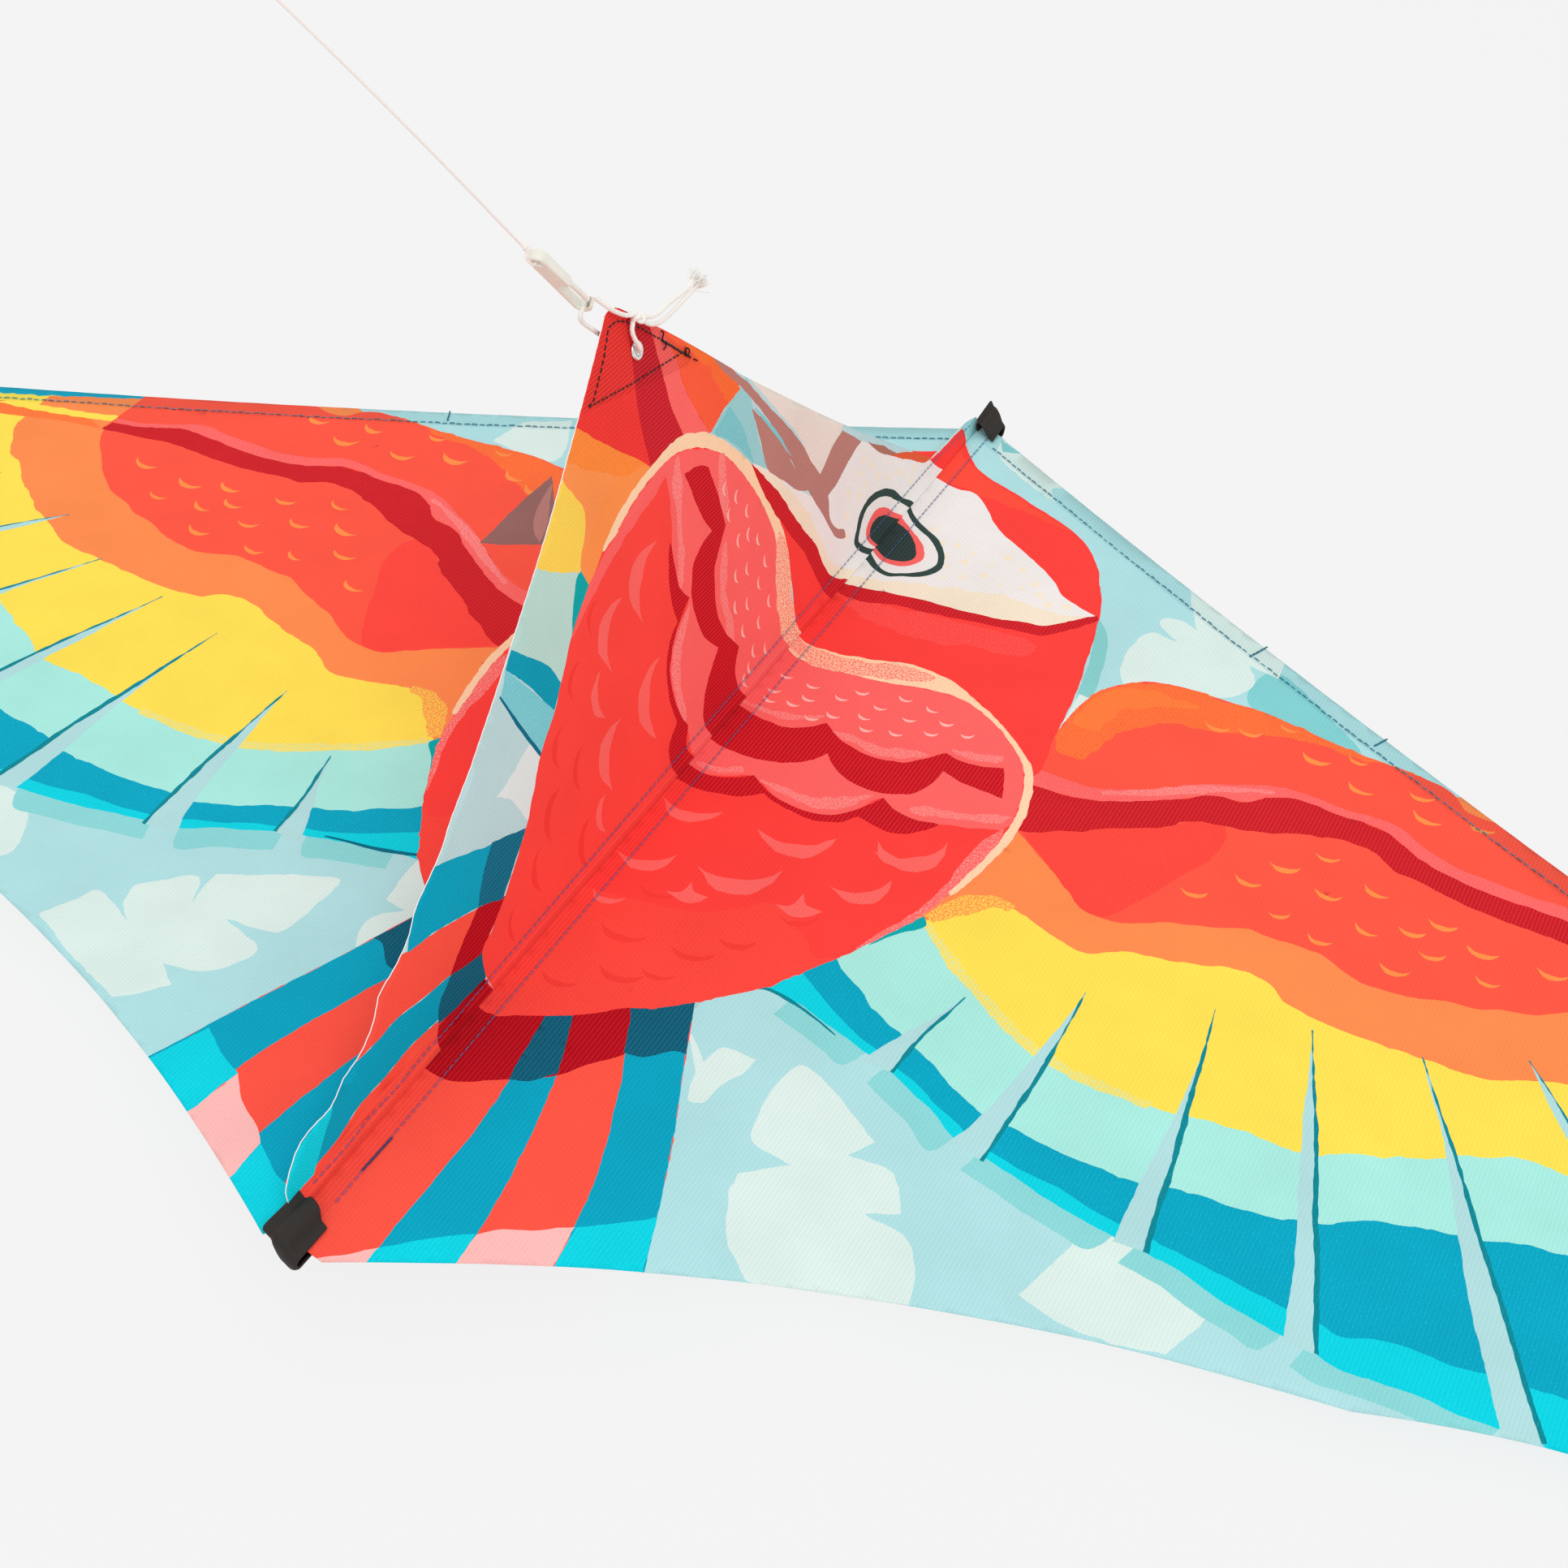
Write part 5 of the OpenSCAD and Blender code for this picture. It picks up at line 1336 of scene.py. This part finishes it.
# ---------------------------------------------------------------- stitches
def thread_material():
    """Sewing thread that takes some of the ink below it."""
    m, t, shader = new_material("thread", rough=0.55)
    ink = add(t, "ShaderNodeAttribute", attribute_name="ink")
    where = add(t, "ShaderNodeTexCoord").outputs["Object"]
    ply = add(t, "ShaderNodeTexNoise", {"Vector": where}, Scale=1400.0, Detail=2.0)
    dark = mix(t, 1.0, ink.outputs["Color"], (0.72, 0.72, 0.76, 1.0), "MULTIPLY")
    t.links.new(mix(t, ply.outputs[0], dark, ink.outputs["Color"]), shader.inputs["Base Color"])
    bump = add(t, "ShaderNodeBump", {"Height": ply.outputs[0]}, Strength=0.3, Distance=0.0002)
    t.links.new(bump.outputs[0], shader.inputs["Normal"])
    return m


thread = thread_material()


def stitches(name, path, place, body, art=None, tint=(0, 132, 158), cover=0.7, stitch=3.3, gap=0.6,
             radius=0.36, rise=0.35):
    """Lockstitches along a path on the flat cloth; place(u, v, lift) is a point above the cloth."""
    line = [Vector(p) for p in path]
    gaps = np.cumsum([0] + [(b - a).length for a, b in zip(line, line[1:])])
    verts, faces, inks = [], [], []
    centres = []
    s = gap
    k = 0
    while s + stitch < gaps[-1]:
        long = stitch * (0.9 + 0.2 * noise.noise(Vector((s, 1.7, 0.3))))
        steps = [s + long * x for x in (0, 0.16, 0.4, 0.6, 0.84, 1)]
        points = [(np.interp(q, gaps, [p.x for p in line]),
                   np.interp(q, gaps, [p.y for p in line])) for q in steps]
        shift = 0.10 if k % 2 else -0.10
        middle = [place(u, v + shift, h) for (u, v), h in zip(points, (-0.15, rise * 0.75, rise, rise,
                rise * 0.75, -0.15))]
        above = [place(u, v + shift, 3.0) for u, v in points]
        first = len(verts)
        for i, p in enumerate(middle):
            d = (middle[min(i + 1, 5)] - middle[max(i - 1, 0)]).normalized()
            up = (above[i] - p).normalized()
            side = d.cross(up).normalized()
            r = radius * MM * (0.55, 0.95, 1.0, 1.0, 0.95, 0.55)[i]
            for j in range(6):
                turn = 2 * math.pi * j / 6
                verts.append(p + (up * math.cos(turn) + side * math.sin(turn)) * r)
        for i in range(5):
            for j in range(6):
                n = (j + 1) % 6
                a = first + i * 6
                faces.append((a + j, a + n, a + 6 + n, a + 6 + j))
        faces.append(tuple(range(first, first + 6))[::-1])
        faces.append(tuple(range(first + 30, first + 36)))
        centres.append(points[2])
        s += long + gap
        k += 1
    mesh = bpy.data.meshes.new(name)
    mesh.from_pydata(verts, [], faces)
    mesh.update()
    base = np.tile(np.array(colour(*tint)[:3]), (len(centres), 1))
    if art:
        below, _, _ = inks_at(np.array(centres, float), art)
        base = base * cover + below * (1 - cover)
    per_loop = np.repeat(base, 5 * 6 * 4 + 12, axis=0)
    layer = mesh.color_attributes.new("ink", "FLOAT_COLOR", "CORNER")
    layer.data.foreach_set("color", np.c_[per_loop, np.ones(len(per_loop))].astype(np.float32).ravel())
    piece = link(bpy.data.objects.new(name, mesh), thread)
    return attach(piece, body)


def on_wing(side):
    return lambda u, v, lift: wing_point(u, v, side, wing_lift(u, v) + 0.12 + lift)


def on_keel(u, v, lift):
    return keel_point(keel_wave(v, u - SEAM) + 0.15 + lift, v, u - SEAM)


stitches("seam_spine", [(1.5, 26), (1.5, 612)], on_wing(1), "frame", arts[1], (60, 96, 150), 0.6)
stitches("seam_backtack", [(1.4, 42), (1.9, 61), (1.3, 43), (1.8, 60), (1.5, 44)], on_wing(1), "frame",
         None, (52, 56, 104), gap=0.2, radius=0.42, rise=0.5)
stitches("seam_keel", [(11, 27), (11.5, 120), (13.5, 300), (14.5, 560), (13, 590), (12, 611)], on_keel,
         "keel", keel_art, (60, 96, 150), 0.6)
for side, label in ((1, "right"), (-1, "left")):
    angles = [TURN - HALF + 0.16 + (2 * HALF - 0.4) * i / 160 for i in range(161)]
    path = [on_arc(a, 10.2 + 0.25 * math.sin(i * 0.31)) for i, a in enumerate(angles)]
    stitches(f"seam_hem_{label}", path, on_wing(side), "frame", arts[side], (0, 132, 160), 0.82, stitch=3.6)
    back = [on_arc(a, 10.2) for a in angles]
    stitches(f"seam_hem_back_{label}", back, lambda u, v, h, s=side: wing_point(u, v, s, -0.75 - h),
             "frame", arts[side], (0, 138, 164), 0.62, stitch=3.4)
    for n, (u0, v0, u1, v1) in enumerate(((179, 526, 174, 513), (247, 494, 243, 485))):
        stitches(f"seam_bar_{label}_{n + 1}", [(u0, v0), (u1, v1), (u0, v0)], on_wing(side), "frame", None,
                 (0, 112, 140), gap=0.1, radius=0.4, rise=0.45)
for label, x in (("left", -8.4), ("right", 8.4)):
    for part, v0, v1 in (("lower", 28, 490), ("upper", 520, 605)):
        stitches(f"seam_tape_{label}_{part}", [(x, v0), (x, v1)],
                 lambda u, v, h: (Vector((u, v, -0.95 - h)) + SHIFT) * MM, "frame", None, (60, 96, 150))

BLACK = (30, 16, 18)
PATCH_STITCH = [(175.5, 292), (176.5, 297), (187, 309), (196.9, 317.6), (197, 323), (194.6, 329),
                (187, 339), (176.6, 351)]
stitches("patch_stitch_front", PATCH_STITCH, on_keel, "keel", None, BLACK, stitch=2.6, gap=0.7, radius=0.32,
         rise=0.3)
stitches("patch_stitch_top", [(176.6, 351), (166.6, 362), (159, 370.5)], on_keel, "keel", None, BLACK,
         stitch=2.6, gap=0.1, radius=0.5, rise=0.4)
stitches("patch_stitch_low", [(175.5, 292), (170, 325), (164.8, 365)], on_keel, "keel", None, BLACK,
         stitch=2.7, gap=0.6, radius=0.3, rise=0.3)
loose = []
for points in ([(176.6, 351, 0.6), (178.6, 352.6, 0.9), (180, 352, 0.5)], [(176.6, 351, 0.6),
        (173.6, 352.4, 1.0), (172.4, 350.6, 0.5)], [(164.6, 365, 0.6), (165.6, 367, 1.0),
                                                    (163.6, 368.2, 0.9), (162.6, 366.2, 0.9),
                                                    (164.6, 365, 1.2), (166, 366.4, 0.7)],
               [(159, 370.5, 0.6), (158.2, 371.6, 0.7), (157, 373, 0.5)]):
    loose.append(way([keel_point(h + 0.2, v, u - SEAM) / MM for u, v, h in points], 0.5))
ends = tubes("patch_thread_ends", loose, 0.3, black_cloth, 7)
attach(ends, "keel")


# ---------------------------------------------------------------- end tabs
tab_tape = woven("tab_tape", colour(46, 41, 38), pitch=0.5, rough=0.6, depth=0.3, dark=0.8)


def end_tab(label, left, right, bow, under, cad):
    """A tape folded round an end of the spine: it climbs the foot of the keel on the left.
    left and right hold the two corners of its upper layer as (x, v, z): the open end, then the fold."""
    rows = []
    for i in range(33):
        s = i / 32
        start, fold = (Vector(a).lerp(Vector(b), s) for a, b in zip(left, right))
        ridge = math.exp(-((s - 0.5) / 0.22) ** 4)
        groove = math.exp(-((s - 0.78) / 0.06) ** 2) + 0.6 * math.exp(-((s - 0.2) / 0.06) ** 2)
        along = (fold - start).normalized()
        out = Vector((0, 0, 1))
        row = []
        for j in range(13):
            q = start.lerp(fold, j / 12) + out * (bow * ridge - 0.5 * groove * (1 - j / 14))
            row.append(q - along * 1.6 * ridge * (1 - j / 12))
        low = min(start.z, fold.z) - 2.6
        low += (under - low) * math.exp(-(fold.x / 5) ** 4)
        drop = fold.z - low
        for a in range(18, 163, 18):
            turn = math.radians(a)
            down = bow * ridge * (1 - a / 180) - drop / 2 * (1 - math.cos(turn))
            row.append(fold + out * down + along * min(2.4, drop / 2) * math.sin(turn))
        for j in range(13):
            q = fold.lerp(start, j / 12)
            row.append(Vector((q.x, q.y, low)))
        rows.append([(q + SHIFT) * MM for q in row])
    tab = ribbon(f"{label}_tab_tape", rows, tab_tape)
    thicken(tab, 1.0)
    rounding = tab.modifiers.new("rounding", "SUBSURF")
    rounding.levels = 1
    rounding.render_levels = 1
    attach(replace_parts(tab, cad), "frame")


end_tab("tail", ((-9.8, 21.8, 5.2), (-11, 4, 5.6)), ((5.8, 15.6, 0.9), (5.4, 0, 0.6)), 2.4, -6.2,
        "tail_tab")
end_tab("nose", ((-7.2, 610, 6.0), (-6.6, 624.5, 9.4)), ((5.4, 602.5, 0.9), (5.0, 618, 1.6)), 1.8, -6.2,
        "nose_tab")


# ---------------------------------------------------------------- eyelet and clip
metal = grained("eyelet_metal", colour(232, 230, 226), 0.22, 1.0, scale=500.0, spread=0.05, depth=0.05)


def lathe(name, profile, place, material):
    """A turned part: profile holds (radius, height) from end to end, and place also takes an angle."""
    rows = [[place(r, h, 2 * math.pi * i / 64) for r, h in profile] for i in range(65)]
    obj = ribbon(name, rows, material)
    weld = obj.modifiers.new("weld", "WELD")
    weld.merge_threshold = 1e-6
    return obj


RIM_PROFILE = [(2.2, -1.4), (2.2, 0.2), (2.25, 0.6), (2.45, 0.9), (2.8, 1.08), (3.2, 1.1), (3.6, 0.98),
               (3.95, 0.72), (4.15, 0.4), (4.18, 0.25), (4.0, 0.2), (3.0, 0.24), (2.45, 0.2), (2.42, -1.4),
               (2.2, -1.4)]


def round_eyelet(r, h, turn):
    v, w = EYELET
    return keel_point(h + keel_wave(v, w), v + r * math.cos(turn), w + r * math.sin(turn))


eyelet = lathe("eyelet_ring", RIM_PROFILE, round_eyelet, metal)
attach(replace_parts(eyelet, "eyelet"), "keel")


def clip_plastic():
    """Milky nylon that lets some light through, faintly warm and cloudy."""
    m, t, shader = new_material("clip_plastic", colour(238, 236, 226), 0.3)
    where = add(t, "ShaderNodeTexCoord").outputs["Object"]
    cloudy = add(t, "ShaderNodeTexNoise", {"Vector": where}, Scale=160.0, Detail=3.0)
    t.links.new(mix(t, cloudy.outputs[0], colour(230, 228, 214), colour(246, 244, 236)),
                shader.inputs["Base Color"])
    shader.inputs["Subsurface Weight"].default_value = 0.2
    shader.inputs["Subsurface Radius"].default_value = (0.004, 0.003, 0.0025)
    shader.inputs["IOR"].default_value = 1.5
    fine = add(t, "ShaderNodeTexNoise", {"Vector": where}, Scale=700.0, Detail=2.0)
    bump = add(t, "ShaderNodeBump", {"Height": fine.outputs[0]}, Strength=0.06, Distance=0.0002)
    t.links.new(bump.outputs[0], shader.inputs["Normal"])
    return m


nylon = clip_plastic()
ROLL = 1.3


def arc_points(x, y, r, a0, a1, n):
    """Points of an arc round (x, y), between two angles in degrees."""
    turns = [math.radians(a0 + (a1 - a0) * i / n) for i in range(n + 1)]
    return [(x + r * math.cos(a), y + r * math.sin(a)) for a in turns]


def clip_body():
    """The clip's frame as a rolled outline: hook with its mouth, barrel behind a step, and the line's eye."""
    r = ROLL
    hook, wide = 4.3 - r, 4.2 - r
    outer = [(0.9, 2.6 + r * 0.4)] + arc_points(0, 0, hook, 76, 282, 16)
    outer += [(14.6, -hook), (15.8, -wide)] + arc_points(34, 0, wide, -90, 90, 16)
    outer += [(16.6, wide), (16.4, 2.4)]
    inner = arc_points(14.4, 0, 2.3 + r * 0.3, 30, -90, 8) + arc_points(0, 0, 2.4 + r * 0.4, -90, -276, 14)
    data = bpy.data.curves.new("clip_hook_body", "CURVE")
    data.dimensions = "2D"
    data.fill_mode = "BOTH"
    for line in (outer + inner, arc_points(34, 0, 1.8 + r * 0.6, 0, 345, 23)):
        spline = data.splines.new("POLY")
        spline.points.add(len(line) - 1)
        for p, (x, y) in zip(spline.points, line):
            p.co = (x * MM, y * MM, 0, 1)
        spline.use_cyclic_u = True
    data.extrude = (2.3 - ROLL * 0.8) * MM
    data.bevel_depth = ROLL * 0.8 * MM
    data.bevel_resolution = 5
    shape = bpy.data.objects.new("clip_shape", data)
    bpy.context.collection.objects.link(shape)
    bpy.context.view_layer.update()
    mesh = bpy.data.meshes.new_from_object(shape.evaluated_get(bpy.context.evaluated_depsgraph_get()))
    bpy.data.objects.remove(shape)
    origin = clip_point(0, 0, 0)
    axes = [(clip_point(*p) - origin) / MM for p in ((1, 0, 0), (0, 1, 0), (0, 0, 1))]
    mesh.transform(Matrix.Translation(origin) @ Matrix(axes).transposed().to_4x4())
    mesh.name = "clip_hook_body"
    mesh.materials.clear()
    obj = link(bpy.data.objects.new("clip_hook_body", mesh), nylon)
    obj.data.set_sharp_from_angle(angle=math.radians(50))
    return obj


clip = clip_body()
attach(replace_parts(clip, "clip_hook"), "clip")
gate_line = [clip_point(x, y, 0) / MM for x, y in ((2.2, 3.3), (5, 3.45), (9, 3.45), (12.5, 3.3),
                                                   (15.4, 3.1))]
gate = tubes("clip_gate_arm", [way(gate_line, 0.5)], 1.15, nylon, 14)
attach(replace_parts(gate, "clip_gate"), "gate")


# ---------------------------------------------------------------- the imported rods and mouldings
rod_black = grained("glass_fibre_dark", colour(34, 34, 37), 0.38, scale=320.0, spread=0.18, depth=0.1,
                    coat=0.15)
rod_pale = grained("glass_fibre_pale", colour(226, 222, 200), 0.36, scale=320.0, spread=0.06, depth=0.1,
                   coat=0.15)
black = grained("moulded_black", colour(26, 26, 28), 0.5, scale=260.0, spread=0.2, depth=0.15)
FINISH = {
    "spine_rod": rod_black, "spreader_right": rod_black, "spreader_left": rod_black,
    "leading_rod_right": rod_pale, "leading_rod_left": rod_pale,
    "spine_cap_nose": black, "spine_cap_tail": black, "centre_fitting": black, "connector_right": black,
    "connector_left": black, "wing_cap_right": black, "wing_cap_left": black,
    "eyelet_washer": metal,
}
for node, material in FINISH.items():
    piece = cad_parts[node]
    piece.data.materials.clear()
    piece.data.materials.append(material)
    if "cap" in node or "connector" in node or "fitting" in node:
        edge = piece.modifiers.new("edge", "BEVEL")
        edge.width = 0.25 * MM
        edge.segments = 2
        edge.limit_method = "ANGLE"
        edge.angle_limit = math.radians(40)


# ---------------------------------------------------------------- studio
def studio():
    floor_mesh = bpy.data.meshes.new("floor")
    floor_mesh.from_pydata([(-6, -6, -0.0005), (6, -6, -0.0005), (6, 6, -0.0005), (-6, 6, -0.0005)], [],
                           [(0, 1, 2, 3)])
    pale = colour(244, 244, 244)
    floor_material, t, shader = new_material("floor", pale, 0.9)
    glow = add(t, "ShaderNodeEmission", Color=pale, Strength=1.0)
    blend = add(t, "ShaderNodeMixShader")
    blend.inputs[0].default_value = 0.92
    t.links.new(shader.outputs[0], blend.inputs[1])
    t.links.new(glow.outputs[0], blend.inputs[2])
    t.links.new(blend.outputs[0], t.nodes["Material Output"].inputs[0])
    floor = link(bpy.data.objects.new("floor", floor_mesh), floor_material, False)
    scene = bpy.context.scene
    scene.world = bpy.data.worlds.new("studio")
    scene.world.use_nodes = True
    sky = scene.world.node_tree.nodes["Background"]
    sky.inputs[0].default_value = (1.0, 1.0, 1.0, 1.0)
    sky.inputs[1].default_value = 0.75
    for name, place, size, power in (("key", (0.9, -1.1, 1.9), 1.4, 14.2),
                                     ("fill", (-1.2, 0.6, 1.7), 1.6, 6)):
        data = bpy.data.lights.new(name, "AREA")
        data.size = size
        data.energy = power
        lamp = bpy.data.objects.new(name, data)
        bpy.context.collection.objects.link(lamp)
        lamp.location = place
        lamp.rotation_euler = (-Vector(place)).to_track_quat("-Z", "Y").to_euler()
    scene.view_settings.view_transform = "Standard"
    scene.view_settings.look = "None"


studio()
